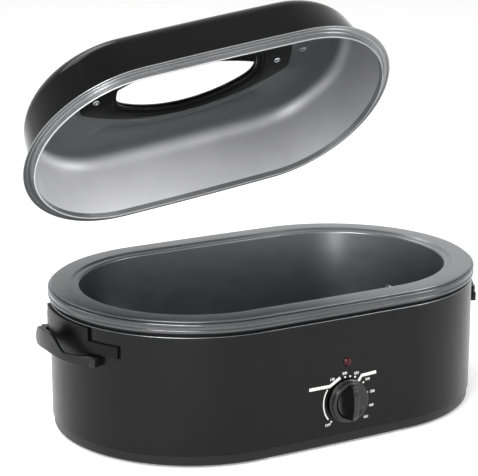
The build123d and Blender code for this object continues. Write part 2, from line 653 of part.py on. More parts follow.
# ---------------------------------------------------------------- internal wires
WIRE_RADIUS = 1.4
LEAD_RADIUS = 0.8
TAB_Y = FRONT - THERMOSTAT_FACE + 9
TAB_BOTTOM = KNOB_Z - 20.5
BLOCK_FRONT = BLOCK_Y - 10
WIRE_ROUTES = {
    "live_wire": [
        (POLES["live"], BLOCK_FRONT, 14),
        (POLES["live"], BLOCK_FRONT - 50, 14),
        (POLES["live"], -40, 20),
        (CONTROL_X + 9, -110, 20),
        (CONTROL_X + 9, TAB_Y, 20),
        (CONTROL_X + 9, TAB_Y, TAB_BOTTOM),
    ],
    "switched_wire": [
        (CONTROL_X - 9, TAB_Y, TAB_BOTTOM),
        (CONTROL_X - 9, TAB_Y, 20),
        (CONTROL_X - 9, -100, 24),
        (-90, -40, 30),
        (-90, FUSE_Y, UNDER_WELL - FUSE_RADIUS),
        (-63, FUSE_Y, UNDER_WELL - FUSE_RADIUS),
    ],
    "element_wire": [
        (-17, FUSE_Y, UNDER_WELL - FUSE_RADIUS),
        (4, FUSE_Y, UNDER_WELL - FUSE_RADIUS),
        (4, FUSE_Y + 40, 36),
        (-TERMINAL_X, ELEMENT_FACE + 1.6, 30),
        (-TERMINAL_X, ELEMENT_FACE + 1.6, ELEMENT_BOTTOM - 6),
    ],
    "neutral_wire": [
        (TERMINAL_X, ELEMENT_FACE + 1.6, ELEMENT_BOTTOM - 6),
        (TERMINAL_X, ELEMENT_FACE + 1.6, 26),
        (TERMINAL_X + 4, 100, 26),
        (POLES["neutral"], 62, 20),
        (POLES["neutral"], 82, 12),
        (POLES["neutral"], BLOCK_FRONT, 12),
    ],
    "earth_wire": [
        (POLES["earth"], BLOCK_FRONT, 12),
        (POLES["earth"], BLOCK_FRONT - 22, 12),
        (130, BLOCK_FRONT - 22, 14),
        (130, BLOCK_Y - 4.6, 14),
    ],
}
WIRE_BENDS = {
    "live_wire": [14, 14, 14, 10],
    "switched_wire": [10, 12, 14, 9],
    "element_wire": [8, 12, 10],
    "neutral_wire": [10, 12, 6, 4],
    "earth_wire": [9, 9],
}
for name, route in WIRE_ROUTES.items():
    with BuildPart() as internal_wire:
        add(wire(route, WIRE_BENDS[name], WIRE_RADIUS))
    save(internal_wire, name)

with BuildPart() as lamp_leads:
    for offset_x, end_x in ((-1.2, POLES["live"] + 3.5), (1.2, POLES["neutral"] + 3.5)):
        add(
            wire(
                [
                    (CONTROL_X + offset_x, FRONT + 12.5, LAMP_Z),
                    (CONTROL_X + offset_x, FRONT + 22.0, LAMP_Z),
                    (CONTROL_X + offset_x * 4, FRONT + 22.0, 34),
                    (end_x, -90, 30 + offset_x * 2),
                    (end_x, BLOCK_FRONT - 40, 18),
                    (end_x, BLOCK_FRONT, 18),
                ],
                [4, 9, 14, 14],
                LEAD_RADIUS,
            )
        )
save(lamp_leads, "lamp_leads")

# ---------------------------------------------------------------- insert pan and rack
PAN_FLANGE_TOP = RIM_TOP
PAN_DEPTH = PAN_FLANGE_TOP - PAN_BOTTOM
with BuildPart() as insert_pan:
    add(drawn(PAN_OPENING_INSET - PAN_SHEET, PAN_FLANGE_TOP - 0.6, 0.6 - PAN_DEPTH, PAN_TAPER, PAN_CORNER_RADIUS))
    # Broad flange with a curled edge
    flange_line = [
        (PAN_OPENING_INSET - PAN_SHEET / 2, PAN_FLANGE_TOP - 6),
        (PAN_OPENING_INSET - PAN_SHEET / 2, PAN_FLANGE_TOP - PAN_SHEET / 2),
        (4.1, PAN_FLANGE_TOP - PAN_SHEET / 2),
        (4.1, RIM_SHELF + 0.3),
    ]
    sweep(sheet_section(flange_line, [2.4, 1.1], PAN_SHEET), path=outline_path())
    cavity_corner = PAN_CORNER_RADIUS - PAN_SHEET
    cavity = drawn(PAN_OPENING_INSET, PAN_FLANGE_TOP, PAN_SHEET - PAN_DEPTH, PAN_TAPER, cavity_corner)
    add(cavity, mode=Mode.SUBTRACT)
save(insert_pan, "insert_pan")

RACK_WIRE = 2.2
RACK_INSET = 60.0
RACK_Z = PAN_BOTTOM + PAN_SHEET + 14.0
RACK_HANDLE_TOP = RACK_Z + 40.0
rack_edge = outline_path(RACK_INSET, RACK_Z)
with BuildPart() as rack:
    with BuildSketch(Plane(origin=(0, -HALF_WIDTH + RACK_INSET, RACK_Z), x_dir=(0, -1, 0), z_dir=(-1, 0, 0))):
        Circle(RACK_WIRE)
    sweep(path=rack_edge)
    half_width = HALF_WIDTH - RACK_INSET
    # Cross wires, each ending in the edge wire
    for x in range(-160, 161, 32):
        straight = END_CENTRE - 2
        over = max(abs(x) - straight, 0)
        reach = ((END_RADIUS - RACK_INSET) ** 2 - over**2) ** 0.5 if over else half_width - 0.5
        with Locations((x, 0, RACK_Z)):
            Cylinder(1.6, 2 * reach, rotation=(90, 0, 0))
    # Long wires on top of them
    for y in (-60, 0, 60):
        reach = END_CENTRE + ((END_RADIUS - RACK_INSET) ** 2 - y**2) ** 0.5
        with Locations((0, y, RACK_Z)):
            Cylinder(1.8, 2 * reach, rotation=(0, 90, 0))
    # Feet
    for x in (-96, 96):
        for y in (-60, 60):
            with Locations((x, y, (RACK_Z + PAN_BOTTOM + PAN_SHEET + 0.5) / 2)):
                Cylinder(2.2, RACK_Z - PAN_BOTTOM - PAN_SHEET - 0.5)
save(rack, "rack")

# Lifting loops, welded on top of the edge wire
LOOP_RADIUS = 2.0
LOOP_FOOT = RACK_Z + RACK_WIRE - 0.15
for side, end in (("left", -1), ("right", 1)):
    loop_x = end * (HALF_LENGTH - RACK_INSET - 9.0)
    loop_route = [
        (loop_x, -48, LOOP_FOOT),
        (loop_x, -48, RACK_HANDLE_TOP),
        (loop_x, 48, RACK_HANDLE_TOP),
        (loop_x, 48, LOOP_FOOT),
    ]
    with BuildPart() as rack_loop:
        add(wire(loop_route, 14, LOOP_RADIUS))
    save(rack_loop, f"{side}_rack_loop")

# ---------------------------------------------------------------- lid
FLANGE_TOP = LID_FLANGE_BOTTOM + 1.6
DOME_INSET = LID_INSET + LID_FLANGE_WIDTH
WINDOW = (97.0, 47.0, 17.0, 15.0)  # half length, half width, half width of the ends, corner radius
FRAME = (145.0, 60.0, 20.0, 5.0)


def grown(shape, by):
    """A window outline moved out all round."""
    return tuple(size + by for size in shape)


with BuildPart() as lid_shell:
    add(drawn(DOME_INSET, LID_FLANGE_BOTTOM, LID_TOP - LID_FLANGE_BOTTOM, LID_TAPER, LID_SHOULDER))
    # Folded rim with the lip that drops into the pan
    rim_corners = [
        (LID_INSET, LID_FLANGE_BOTTOM),
        (LID_INSET, FLANGE_TOP),
        (DOME_INSET + LID_SHEET, FLANGE_TOP),
        (DOME_INSET + LID_SHEET, LID_FLANGE_BOTTOM - 6),
        (DOME_INSET - 1.0, LID_FLANGE_BOTTOM - 6),
        (DOME_INSET - 1.0, LID_FLANGE_BOTTOM),
    ]
    rim_rounding = {
        (LID_INSET, LID_FLANGE_BOTTOM): 0.7,
        (LID_INSET, FLANGE_TOP): 0.7,
        (DOME_INSET - 1.0, LID_FLANGE_BOTTOM - 6): 0.8,
        (DOME_INSET + LID_SHEET, LID_FLANGE_BOTTOM - 6): 0.8,
    }
    sweep(solid_section(rim_corners, rim_rounding), path=outline_path())
    hollow_height = LID_TOP - LID_SHEET - LID_FLANGE_BOTTOM
    hollow_corner = LID_SHOULDER - LID_SHEET
    add(drawn(DOME_INSET + LID_SHEET, LID_FLANGE_BOTTOM, hollow_height, LID_TAPER, hollow_corner), mode=Mode.SUBTRACT)
    # Window opening and screw holes
    extrude(lens(*grown(WINDOW, 7.0), LID_TOP - 5), amount=10, mode=Mode.SUBTRACT)
    with Locations((-LID_SCREW_X, 0, LID_TOP), (LID_SCREW_X, 0, LID_TOP)):
        Cylinder(2.3, 10, mode=Mode.SUBTRACT)
save(lid_shell, "lid_shell", lid=True)

GLASS_BOTTOM = LID_TOP - 2.5
GLASS_TOP = GLASS_BOTTOM + 4.0
with BuildPart() as window_glass:
    extrude(lens(*grown(WINDOW, 4.5), GLASS_BOTTOM), amount=4.0)
    chamfer(window_glass.edges().group_by(Axis.Z)[-1], 0.5)
save(window_glass, "window_glass", lid=True)

with BuildPart() as window_seal:
    extrude(lens(*grown(WINDOW, 6.7), GLASS_BOTTOM), amount=4.0)
    extrude(lens(*grown(WINDOW, 4.8), GLASS_BOTTOM), amount=4.0, mode=Mode.SUBTRACT)
save(window_seal, "window_seal", lid=True)

FRAME_DEPTH = 6.5
INNER_TOP = LID_TOP - LID_SHEET - 0.1
with BuildPart() as window_frame:
    extrude(lens(*FRAME, INNER_TOP - FRAME_DEPTH), amount=FRAME_DEPTH)
    fillet(window_frame.edges().group_by(Axis.Z)[0], 1.5)
    extrude(lens(*WINDOW, INNER_TOP - 10), amount=12, mode=Mode.SUBTRACT)
    # Step down from the rim to the glass
    extrude(lens(*grown(WINDOW, 5.0), INNER_TOP - FRAME_DEPTH), amount=2.2, mode=Mode.SUBTRACT)
    # Pocket for the glass and its seal
    extrude(lens(*grown(WINDOW, 7.0), GLASS_BOTTOM - 0.1), amount=5, mode=Mode.SUBTRACT)
    # Recess and hole for each screw
    with Locations((-LID_SCREW_X, 0, INNER_TOP - FRAME_DEPTH), (LID_SCREW_X, 0, INNER_TOP - FRAME_DEPTH)):
        Cylinder(2.3, 20, mode=Mode.SUBTRACT)
        Cylinder(5.6, 3.0, mode=Mode.SUBTRACT)
save(window_frame, "window_frame", lid=True)

BEZEL_BOTTOM = LID_TOP + 0.1
BEZEL_HEIGHT = 5.0
with BuildPart() as window_bezel:
    extrude(lens(*FRAME, BEZEL_BOTTOM), amount=BEZEL_HEIGHT)
    fillet(window_bezel.edges().group_by(Axis.Z)[-1], 1.8)
    extrude(lens(*WINDOW, BEZEL_BOTTOM - 1), amount=12, mode=Mode.SUBTRACT)
    extrude(lens(*grown(WINDOW, 7.0), BEZEL_BOTTOM), amount=GLASS_TOP + 0.1 - BEZEL_BOTTOM, mode=Mode.SUBTRACT)
    with Locations((-LID_SCREW_X, 0, BEZEL_BOTTOM), (LID_SCREW_X, 0, BEZEL_BOTTOM)):
        Cylinder(2.3, 20, mode=Mode.SUBTRACT)
save(window_bezel, "window_bezel", lid=True)

HANDLE_FOOT = BEZEL_BOTTOM + BEZEL_HEIGHT + 0.05
HANDLE_WIDTH = 25.0
HANDLE_BAR = 13.0
with BuildPart() as lid_handle:
    with BuildSketch(Plane.XZ):
        with BuildLine():
            ThreePointArc((-143, HANDLE_FOOT + 3), (0, HANDLE_TOP), (143, HANDLE_FOOT + 3))
            Line((143, HANDLE_FOOT + 3), (143, HANDLE_FOOT))
            Line((143, HANDLE_FOOT), (107, HANDLE_FOOT))
            ThreePointArc((107, HANDLE_FOOT), (0, HANDLE_TOP - HANDLE_BAR), (-107, HANDLE_FOOT))
            Line((-107, HANDLE_FOOT), (-143, HANDLE_FOOT))
            Line((-143, HANDLE_FOOT), (-143, HANDLE_FOOT + 3))
        make_face()
    extrude(amount=HANDLE_WIDTH / 2, both=True)
    fillet(lid_handle.edges().filter_by(GeomType.CIRCLE), 4.0)
    with Locations((-LID_SCREW_X, 0, HANDLE_FOOT), (LID_SCREW_X, 0, HANDLE_FOOT)):
        Cylinder(2.05, 18, mode=Mode.SUBTRACT)
save(lid_handle, "lid_handle", lid=True)

with BuildPart() as lid_screws:
    for x in (-LID_SCREW_X, LID_SCREW_X):
        with BuildSketch(Plane.XY.offset(INNER_TOP - FRAME_DEPTH + 1.45)):
            with Locations((x, 0)):
                Circle(4.6)
        extrude(amount=-3.4)
        with BuildSketch(Plane.XY.offset(INNER_TOP - FRAME_DEPTH + 1)):
            with Locations((x, 0)):
                Circle(2.0)
        extrude(amount=20.5)
    fillet(lid_screws.edges().group_by(Axis.Z)[0], 1.6)
save(lid_screws, "lid_screws", lid=True)
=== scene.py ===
"""Looks of an electric roaster oven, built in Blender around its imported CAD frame.

Everything is in metres, in the frame of the CAD part: +Z is up, -Y is the front and the origin is
on the table under the middle of the base. The lid is built closed and then turned to its rest pose.
"""

import logging
import math
from dataclasses import dataclass
from enum import Enum
from typing import Callable, Iterable, Optional, Sequence

import bmesh
import bpy
from mathutils import Matrix, Vector


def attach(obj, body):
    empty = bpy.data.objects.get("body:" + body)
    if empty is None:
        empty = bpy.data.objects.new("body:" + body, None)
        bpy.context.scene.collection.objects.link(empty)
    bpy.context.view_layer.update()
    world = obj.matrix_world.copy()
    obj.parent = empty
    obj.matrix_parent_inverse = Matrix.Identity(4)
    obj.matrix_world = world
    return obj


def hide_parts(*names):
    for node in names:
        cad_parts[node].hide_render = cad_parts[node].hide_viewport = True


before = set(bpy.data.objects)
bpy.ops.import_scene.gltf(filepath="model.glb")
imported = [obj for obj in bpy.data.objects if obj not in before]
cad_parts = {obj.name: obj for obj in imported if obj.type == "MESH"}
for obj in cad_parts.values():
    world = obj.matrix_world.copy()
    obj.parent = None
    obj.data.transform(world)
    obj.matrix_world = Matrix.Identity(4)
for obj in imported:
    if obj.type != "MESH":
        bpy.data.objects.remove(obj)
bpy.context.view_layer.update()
LOG = logging.getLogger("roaster")
MM = 0.001

Point = tuple[float, float]
Corner = tuple[float, float, float]
Place = Callable[[float], Vector]
Mesh = bmesh.types.BMesh
Edges = list[bmesh.types.BMEdge]
Tree = bpy.types.NodeTree
Socket = bpy.types.NodeSocket
RELIEF_SHARE = 0.2  # how deep a grain is, as a share of its size


# ------------------------------ finishes
class Grain(Enum):
    """How a surface was made, which gives it its relief."""

    SPRAYED = "sprayed"  # enamel with the faint waviness of orange peel
    MOULDED = "moulded"  # plastic from a spark-eroded mould
    DRAWN = "drawn"  # sheet pulled over a die, with fine streaks
    POLISHED = "polished"  # buffed metal with hairline scratches
    SPANGLED = "spangled"  # zinc crystals
    WOVEN = "woven"  # glass yarn
    CAST = "cast"  # rubber or ceramic


SPRAYED, MOULDED, DRAWN, POLISHED, SPANGLED, WOVEN, CAST = Grain


def linear(colour: str) -> tuple[float, ...]:
    """Turn an sRGB hex colour, such as "#1a1b1c", into linear RGBA."""
    channels = [int(colour[i : i + 2], 16) / 255 for i in (1, 3, 5)]
    return (*(c / 12.92 if c <= 0.04045 else ((c + 0.055) / 1.055) ** 2.4 for c in channels), 1.0)


def add_node(tree: Tree, kind: str, settings: Optional[dict] = None, **inputs: object) -> bpy.types.Node:
    """Add a node with its settings, values and links.

    Each input is named with _ for a space in its name, or with n and its number, and is given a value
    or an output socket.
    """
    made = tree.nodes.new("ShaderNode" + kind)
    for name, value in (settings or {}).items():
        setattr(made, name, value)
    for name, value in inputs.items():
        key = int(name[1:]) if name[0] == "n" and name[1:].isdigit() else name.replace("_", " ")
        socket = made.inputs[key]
        if isinstance(value, Socket):
            tree.links.new(value, socket)
        else:
            socket.default_value = value
    return made


def mixed(tree: Tree, share: object, first: object, second: object) -> Socket:
    """Add a mix of two colours."""
    return add_node(tree, "Mix", {"data_type": "RGBA"}, n0=share, n6=first, n7=second).outputs[2]


def ranged(tree: Tree, value: Socket, low: float, high: float, ends: Point = (0.0, 1.0)) -> Socket:
    """Add what spreads the values from low to high between two ends."""
    return add_node(tree, "MapRange", n0=value, n1=low, n2=high, n3=ends[0], n4=ends[1]).outputs["Result"]


def larger(tree: Tree, first: Socket, second: Socket) -> Socket:
    """Add the larger of two values."""
    return add_node(tree, "Math", {"operation": "MAXIMUM"}, n0=first, n1=second).outputs["Value"]


def noise(tree: Tree, place: Socket, size_mm: float, **more: float) -> Socket:
    """Add noise with spots of a size in millimetres."""
    return add_node(tree, "TexNoise", Vector=place, Scale=1000 / size_mm, **more).outputs["Fac"]


def emptied(owner: bpy.types.ID) -> Tree:
    """Turn on the nodes of a material or world, and clear them."""
    owner.use_nodes = True
    owner.node_tree.nodes.clear()
    return owner.node_tree


def surfaced(tree: Tree, kind: str, shader: bpy.types.Node) -> None:
    """Link a shader to a new output node."""
    tree.links.new(shader.outputs[0], add_node(tree, kind).inputs["Surface"])


@dataclass(frozen=True)
class Surface:
    """A real material, by its name and colour."""

    name: str
    colour: str

    def material(self) -> bpy.types.Material:
        """Build the material once and return it."""
        made = bpy.data.materials.get(self.name)
        if made is None:
            made = bpy.data.materials.new(self.name)
            tree = emptied(made)
            place = add_node(tree, "TexCoord").outputs["Object"]
            surfaced(tree, "OutputMaterial", self.shader(tree, place))
        return made

    def shader(self, tree: Tree, place: Socket) -> bpy.types.Node:
        """Add the shader, whose textures read the object's coordinates."""
        raise NotImplementedError


@dataclass(frozen=True)
class Finish(Surface):
    """An opaque material and the way its surface was made.

    The colour drifts softly between two shades, the gloss changes with handling marks, and the
    relief comes from the grain, at a size in millimetres.
    """

    shade: str
    rough: Point
    grain: Grain
    grain_mm: float
    relief: float
    metallic: float = 0.0
    ior: float = 1.5
    drift_mm: float = 60.0
    marks_mm: float = 14.0
    stretch: Corner = (1.0, 1.0, 1.0)

    def shader(self, tree: Tree, place: Socket) -> bpy.types.Node:
        """Add the shader with its drift, marks and relief."""
        drift = noise(tree, place, self.drift_mm, Detail=3.0, Roughness=0.5)
        marks = noise(tree, place, self.marks_mm, Detail=5.0, Roughness=0.62)
        height = self.relief_height(tree, place)
        bump = add_node(
            tree, "Bump", Height=height, Strength=self.relief, Distance=self.grain_mm * MM * RELIEF_SHARE
        )
        return add_node(
            tree,
            "BsdfPrincipled",
            Base_Color=self.tinted(tree, ranged(tree, drift, 0.35, 0.65)),
            Roughness=ranged(tree, marks, 0.3, 0.7, self.rough),
            Metallic=self.metallic,
            IOR=self.ior,
            Normal=bump.outputs["Normal"],
        )

    def tinted(self, tree: Tree, blend: Socket) -> Socket:
        """Add the mix of the two shades."""
        return mixed(tree, blend, linear(self.shade), linear(self.colour))

    def relief_height(self, tree: Tree, place: Socket) -> Socket:
        """Add the height of the grain."""
        scale = 1000 / self.grain_mm
        turned = add_node(tree, "Mapping", Vector=place, Scale=self.stretch).outputs["Vector"]
        if self.grain is SPANGLED:
            return add_node(tree, "TexVoronoi", Vector=turned, Scale=scale).outputs["Color"]
        if self.grain is WOVEN:
            ways = [{"bands_direction": way} for way in "XZ"]
            rows = {"Vector": turned, "Scale": scale / 6.28, "Distortion": 1.0}
            return larger(tree, *(add_node(tree, "TexWave", way, **rows).outputs["Fac"] for way in ways))
        if self.grain is MOULDED:
            cells = add_node(tree, "TexVoronoi", {"feature": "SMOOTH_F1"}, Vector=turned, Scale=scale)
            return cells.outputs["Distance"]
        detail = {SPRAYED: 1.0, DRAWN: 6.0, POLISHED: 8.0, CAST: 3.0}[self.grain]
        return noise(tree, turned, self.grain_mm, Detail=detail, Roughness=0.6)


@dataclass(frozen=True)
class Metal(Finish):
    """A bare or plated metal."""

    metallic: float = 1.0


@dataclass(frozen=True)
class PaintedShadeFinish(Finish):
    """A drawn sheet with painted shade: a deeper tone mixed in where the attribute "level" is 1."""

    # colour of the painted shade
    shade_colour: str = "#5c5d5f"

    def tinted(self, tree: Tree, blend: Socket) -> Socket:
        """Add the mix of the two shades, and the deeper tone over them."""
        # "level" is how much painted shade lies over the sheet
        level = add_node(tree, "Attribute", {"attribute_name": "level"}).outputs["Fac"]
        return mixed(tree, level, super().tinted(tree, blend), linear(self.shade_colour))


@dataclass(frozen=True)
class ClearFinish(Surface):
    """Glass or a clear moulding: refraction with a few smears in the gloss."""

    rough: Point
    ior: float
    smear_mm: float = 30.0

    def shader(self, tree: Tree, place: Socket) -> bpy.types.Node:
        """Add the shader with its smears."""
        smears = noise(tree, place, self.smear_mm, Detail=4.0, Distortion=1.5)
        return add_node(
            tree,
            "BsdfPrincipled",
            Base_Color=linear(self.colour),
            Roughness=ranged(tree, smears, 0.45, 0.8, self.rough),
            IOR=self.ior,
            Transmission_Weight=1.0,
        )


# Satin black enamel on drawn steel: nearly black, with broad soft reflections
BODY_ENAMEL = Finish(
    "satin_enamel_sprayed", "#0b0b0c", "#09090a", (0.22, 0.28), SPRAYED, 2.4, 0.012, ior=1.29
)
# The wall's turned top edge, in bright metal as a painted highlight line
EDGE_HIGHLIGHT_METAL = Metal("enamel_edge_painted_highlight", "#838486", "#7a7b7d", (0.25, 0.35), POLISHED, 0.6, 0.03)
# Gloss black enamel on the dome: deeper, with clear reflections
DOME_ENAMEL = Finish(
    "gloss_enamel_sprayed", "#030303", "#020202", (0.07, 0.12), SPRAYED, 3.0, 0.012, ior=1.19
)
# Bare steel inside of the dome: satin, faintly streaked by the drawing die, with painted shade over the
# ceiling and towards the right end
DOME_STEEL = PaintedShadeFinish(
    "stainless_steel_drawn", "#ededee", "#e4e4e6", (0.36, 0.43), DRAWN, 0.8, 0.04,
    metallic=0.4, stretch=(0.15, 1.0, 1.0),
)
# Buffed steel of the lid's rolled rim and dimples, a darker copy of the inside steel: painted shade on the
# rim
SHADED_RIM_STEEL = Finish(
    "stainless_steel_buffed_shaded", "#8e8f91", "#87888a", (0.18, 0.24), POLISHED, 0.6, 0.03,
    metallic=0.65, stretch=(0.2, 0.2, 1.0),
)
# Graphite lacquer on the rolled trim, with highlight lines along its beads
TRIM_STEEL = Metal("graphite_steel_lacquered", "#5a5b5d", "#565759", (0.15, 0.21), POLISHED, 0.6, 0.02)
# Graphite non-stick on the drawn pan: satin, with painted shade darker down inside and towards the left end
PAN_STEEL = PaintedShadeFinish(
    "graphite_nonstick_sprayed", "#808183", "#7b7c7e", (0.28, 0.34), SPRAYED, 1.6, 0.02,
    metallic=0.85, shade_colour="#4e4f51",
)
# Bright plated wire of the rack
RACK_CHROME = Metal("nickel_chrome_plate", "#c9cacc", "#bcbdbf", (0.10, 0.18), POLISHED, 0.5, 0.03)
# Phenolic handles: dense black with a dull sheen
PHENOLIC = Finish("phenolic_moulded", "#0f0f10", "#0c0c0d", (0.30, 0.40), MOULDED, 0.5, 0.05, ior=1.36)
# The knob is the same stuff, polished a little more by the mould
KNOB_PHENOLIC = Finish(
    "phenolic_polished", "#0c0c0d", "#0a0a0b", (0.14, 0.20), MOULDED, 0.4, 0.02, ior=1.52
)
# Window frame: the same stuff again, dull black
FRAME_PHENOLIC = Finish(
    "phenolic_frame_moulded", "#070707", "#060606", (0.30, 0.42), MOULDED, 0.5, 0.04, ior=1.24
)
# Polypropylene band round the foot of the wall
BAND_PLASTIC = Finish(
    "polypropylene_moulded", "#101011", "#0d0d0e", (0.32, 0.42), MOULDED, 0.6, 0.05, ior=1.36
)
# Zinc on cover, brackets and clips
ZINC = Metal("zinc_plated_sheet", "#a6aaad", "#8f9396", (0.32, 0.46), SPANGLED, 4.0, 0.05)
# Aluminised sheet, dulled by heat
ALUMINISED = Metal("aluminised_sheet", "#9a9b9b", "#86837d", (0.40, 0.55), DRAWN, 1.2, 0.12)
# Plated fasteners
SCREW_STEEL = Metal(
    "nickel_plated_steel", "#c4c5c6", "#b3b4b5", (0.16, 0.26), POLISHED, 0.3, 0.03, marks_mm=3.0
)
# Heater jacket, blued where it has run hot
HEATER_STEEL = Metal(
    "heater_jacket_blued", "#7c7f86", "#6a5f55", (0.38, 0.52), DRAWN, 1.0, 0.10, drift_mm=35
)
# Silicone and rubber
FOOT_RUBBER = Finish("rubber_moulded", "#1d1d1e", "#19191a", (0.62, 0.76), CAST, 0.6, 0.15)
SEAL_SILICONE = Finish("silicone_moulded", "#181818", "#141414", (0.50, 0.60), CAST, 0.5, 0.08)
# Glass-fibre blanket
GLASS_FIBRE = Finish("glass_fibre_felted", "#e4dfd2", "#d3ccba", (0.85, 0.95), CAST, 2.5, 0.60, drift_mm=25)
# Woven glass sleeve of the fuse
GLASS_SLEEVE = Finish("glass_yarn_woven", "#dedbd0", "#cfcabc", (0.70, 0.85), WOVEN, 0.9, 0.50)
# Ceramic-filled moulding of thermostat and terminal block
CREAM_PHENOLIC = Finish("ceramic_filled_moulding", "#d9d2c2", "#cdc5b3", (0.45, 0.60), CAST, 0.8, 0.12)
# Copper bulb and capillary
COPPER = Metal("copper_drawn", "#c07e57", "#a86a45", (0.25, 0.38), DRAWN, 0.6, 0.06, drift_mm=12)
# Silicone insulation of the wires
WIRE_BROWN = Finish("wire_silicone_brown", "#5b3320", "#4f2b1a", (0.45, 0.55), CAST, 0.5, 0.05)
WIRE_BLUE = Finish("wire_silicone_blue", "#2a4690", "#233c80", (0.45, 0.55), CAST, 0.5, 0.05)
WIRE_GREEN = Finish("wire_silicone_green", "#6d9a2e", "#d2c62f", (0.45, 0.55), CAST, 0.5, 0.05, drift_mm=5)
WIRE_WHITE = Finish("wire_silicone_white", "#dcdcd6", "#d0d0c9", (0.45, 0.55), CAST, 0.5, 0.05)
# White pad-printing ink on the wall
PRINT_INK = Finish("pad_printed_ink", "#f2f2f0", "#e6e6e3", (0.45, 0.55), CAST, 0.4, 0.05)
# Tempered glass of the window, envelope of the lamp, and the lamp's red jewel
WINDOW_GLASS = ClearFinish("tempered_glass_float", "#ffffff", (0.0, 0.01), 1.3)
LAMP_GLASS = ClearFinish("lamp_glass_blown", "#f6d9b8", (0.02, 0.05), 1.5, 6.0)
RED_JEWEL = Finish(
    "acrylic_red_moulded", "#3e0a11", "#35080e", (0.06, 0.10), CAST, 0.8, 0.02, ior=1.32, marks_mm=3.0
)


# ------------------------------ mesh helpers
def rounded(corners: Sequence[Corner], steps: int = 5) -> list[Point]:
    """Round the corners of an open line by the radius in each, but for its ends, in a few steps each."""
    line = [Vector(corners[0][:2])]
    for before, here, after in zip(corners, corners[1:], corners[2:]):
        corner, radius = Vector(here[:2]), here[2]
        back = (Vector(before[:2]) - corner).normalized()
        onward = (Vector(after[:2]) - corner).normalized()
        half = back.angle(onward) / 2
        if radius <= 0 or half > 1.56:
            line.append(corner)
            continue
        reach = radius / math.tan(half)
        centre = corner + (back + onward).normalized() * (radius / math.sin(half))
        start, end = corner + back * reach - centre, corner + onward * reach - centre
        turn = start.angle_signed(end)
        line += [centre + Matrix.Rotation(-turn * k / steps, 2) @ start for k in range(steps + 1)]
    line.append(Vector(corners[-1][:2]))
    return [(p.x, p.y) for p in line]


def sheet_section(corners: Sequence[Corner], thickness: float, steps: int = 5) -> list[Point]:
    """Give a bent line the thickness of sheet, and return its closed outline."""
    line = [Vector(p) for p in rounded(corners, steps)]
    near, far = [], []
    for i, here in enumerate(line):
        before, after = line[max(i - 1, 0)], line[min(i + 1, len(line) - 1)]
        along = (after - before).normalized()
        across = Vector((-along.y, along.x)) * thickness / 2
        near.append((here.x + across.x, here.y + across.y))
        far.append((here.x - across.x, here.y - across.y))
    return near + far[::-1]


def vertices_in(geom: Iterable[object]) -> list[bmesh.types.BMVert]:
    """Pick the vertices out of what an operator returns."""
    return [g for g in geom if isinstance(g, bmesh.types.BMVert)]


def edges_in(geom: Iterable[object]) -> Edges:
    """Pick the edges out of what an operator returns."""
    return [g for g in geom if isinstance(g, bmesh.types.BMEdge)]


def facing_out(bm: Mesh) -> None:
    """Turn every face outward."""
    bmesh.ops.recalc_face_normals(bm, faces=bm.faces)


def cap_open(bm: Mesh) -> None:
    """Fill every open loop with a face."""
    bmesh.ops.holes_fill(bm, edges=[e for e in bm.edges if e.is_boundary], sides=0)


def polar(radius: float, bearing: float) -> Point:
    """The point at a distance and a bearing."""
    return radius * math.cos(bearing), radius * math.sin(bearing)


def edges_at(vertices: Iterable[bmesh.types.BMVert]) -> Edges:
    """Find the edges that meet some vertices, each once and in the same order in every run."""
    return list(dict.fromkeys(e for v in vertices for e in v.link_edges))


def boundary(bm: Mesh) -> list[Edges]:
    """Find the edges of each open loop of a mesh, in the same order in every run."""
    left = dict.fromkeys(e for e in bm.edges if e.is_boundary or e.is_wire)
    loops = []
    while left:
        loop, queue = [], [left.popitem()[0]]
        while queue:
            edge = queue.pop()
            loop.append(edge)
            joined = [e for e in edges_at(edge.verts) if e in left]
            for found in joined:
                del left[found]
            queue += joined
        loops.append(loop)
    return loops


def draw_out(bm: Mesh, loop: Edges, places: Iterable[Place]) -> Edges:
    """Extrude an edge loop onto outline after outline, each point at its bearing, to a last loop."""
    for place in places:
        made = bmesh.ops.extrude_edge_only(bm, edges=loop)["geom"]
        for vertex in vertices_in(made):
            vertex.co = place(math.atan2(vertex.co.y, vertex.co.x))
        loop = edges_in(made)
    return loop


def ring(bm: Mesh, places: Sequence[Place], segments: int = 144, closed: bool = True) -> None:
    """Build a band from outlines, joined end to end if closed, and with filled ends if not."""
    made = bmesh.ops.create_circle(bm, segments=segments, radius=1.0)["verts"]
    first = edges_at(made)
    for vertex in made:
        vertex.co = places[0](math.atan2(vertex.co.y, vertex.co.x))
    last = draw_out(bm, first, places[1:])
    if closed:
        bmesh.ops.bridge_loops(bm, edges=first + last)
    else:
        bmesh.ops.holes_fill(bm, edges=first + last, sides=0)
    facing_out(bm)


def absorb(bm: Mesh, part: Mesh) -> None:
    """Move everything in one mesh into another."""
    mesh = bpy.data.meshes.new("part")
    part.to_mesh(mesh)
    part.free()
    bm.from_mesh(mesh)
    bpy.data.meshes.remove(mesh)


def cut_cube(cuts: dict[int, int]) -> Mesh:
    """Make a unit cube whose edges along each axis are cut a number of times."""
    bm = bmesh.new()
    bmesh.ops.create_cube(bm, size=1.0)
    for axis, count in cuts.items():
        along = [e for e in bm.edges if abs(e.verts[0].co[axis] - e.verts[1].co[axis]) > 0.5]
        bmesh.ops.subdivide_edges(bm, edges=along, cuts=count, use_grid_fill=True)
    return bm


def block(bm: Mesh, size: Vector, bevel: float, matrix: Matrix) -> None:
    """Add a box with rounded edges, placed by a matrix."""
    made = bmesh.ops.create_cube(bm, size=1.0)["verts"]
    bmesh.ops.scale(bm, vec=size, verts=made)
    out = bmesh.ops.bevel(
        bm, geom=edges_at(made), offset=bevel, affect="EDGES", segments=3, profile=0.5, material=-1
    )
    made = list({v for f in out["faces"] for v in f.verts} | {v for v in made if v.is_valid})
    bmesh.ops.transform(bm, matrix=matrix, verts=made)


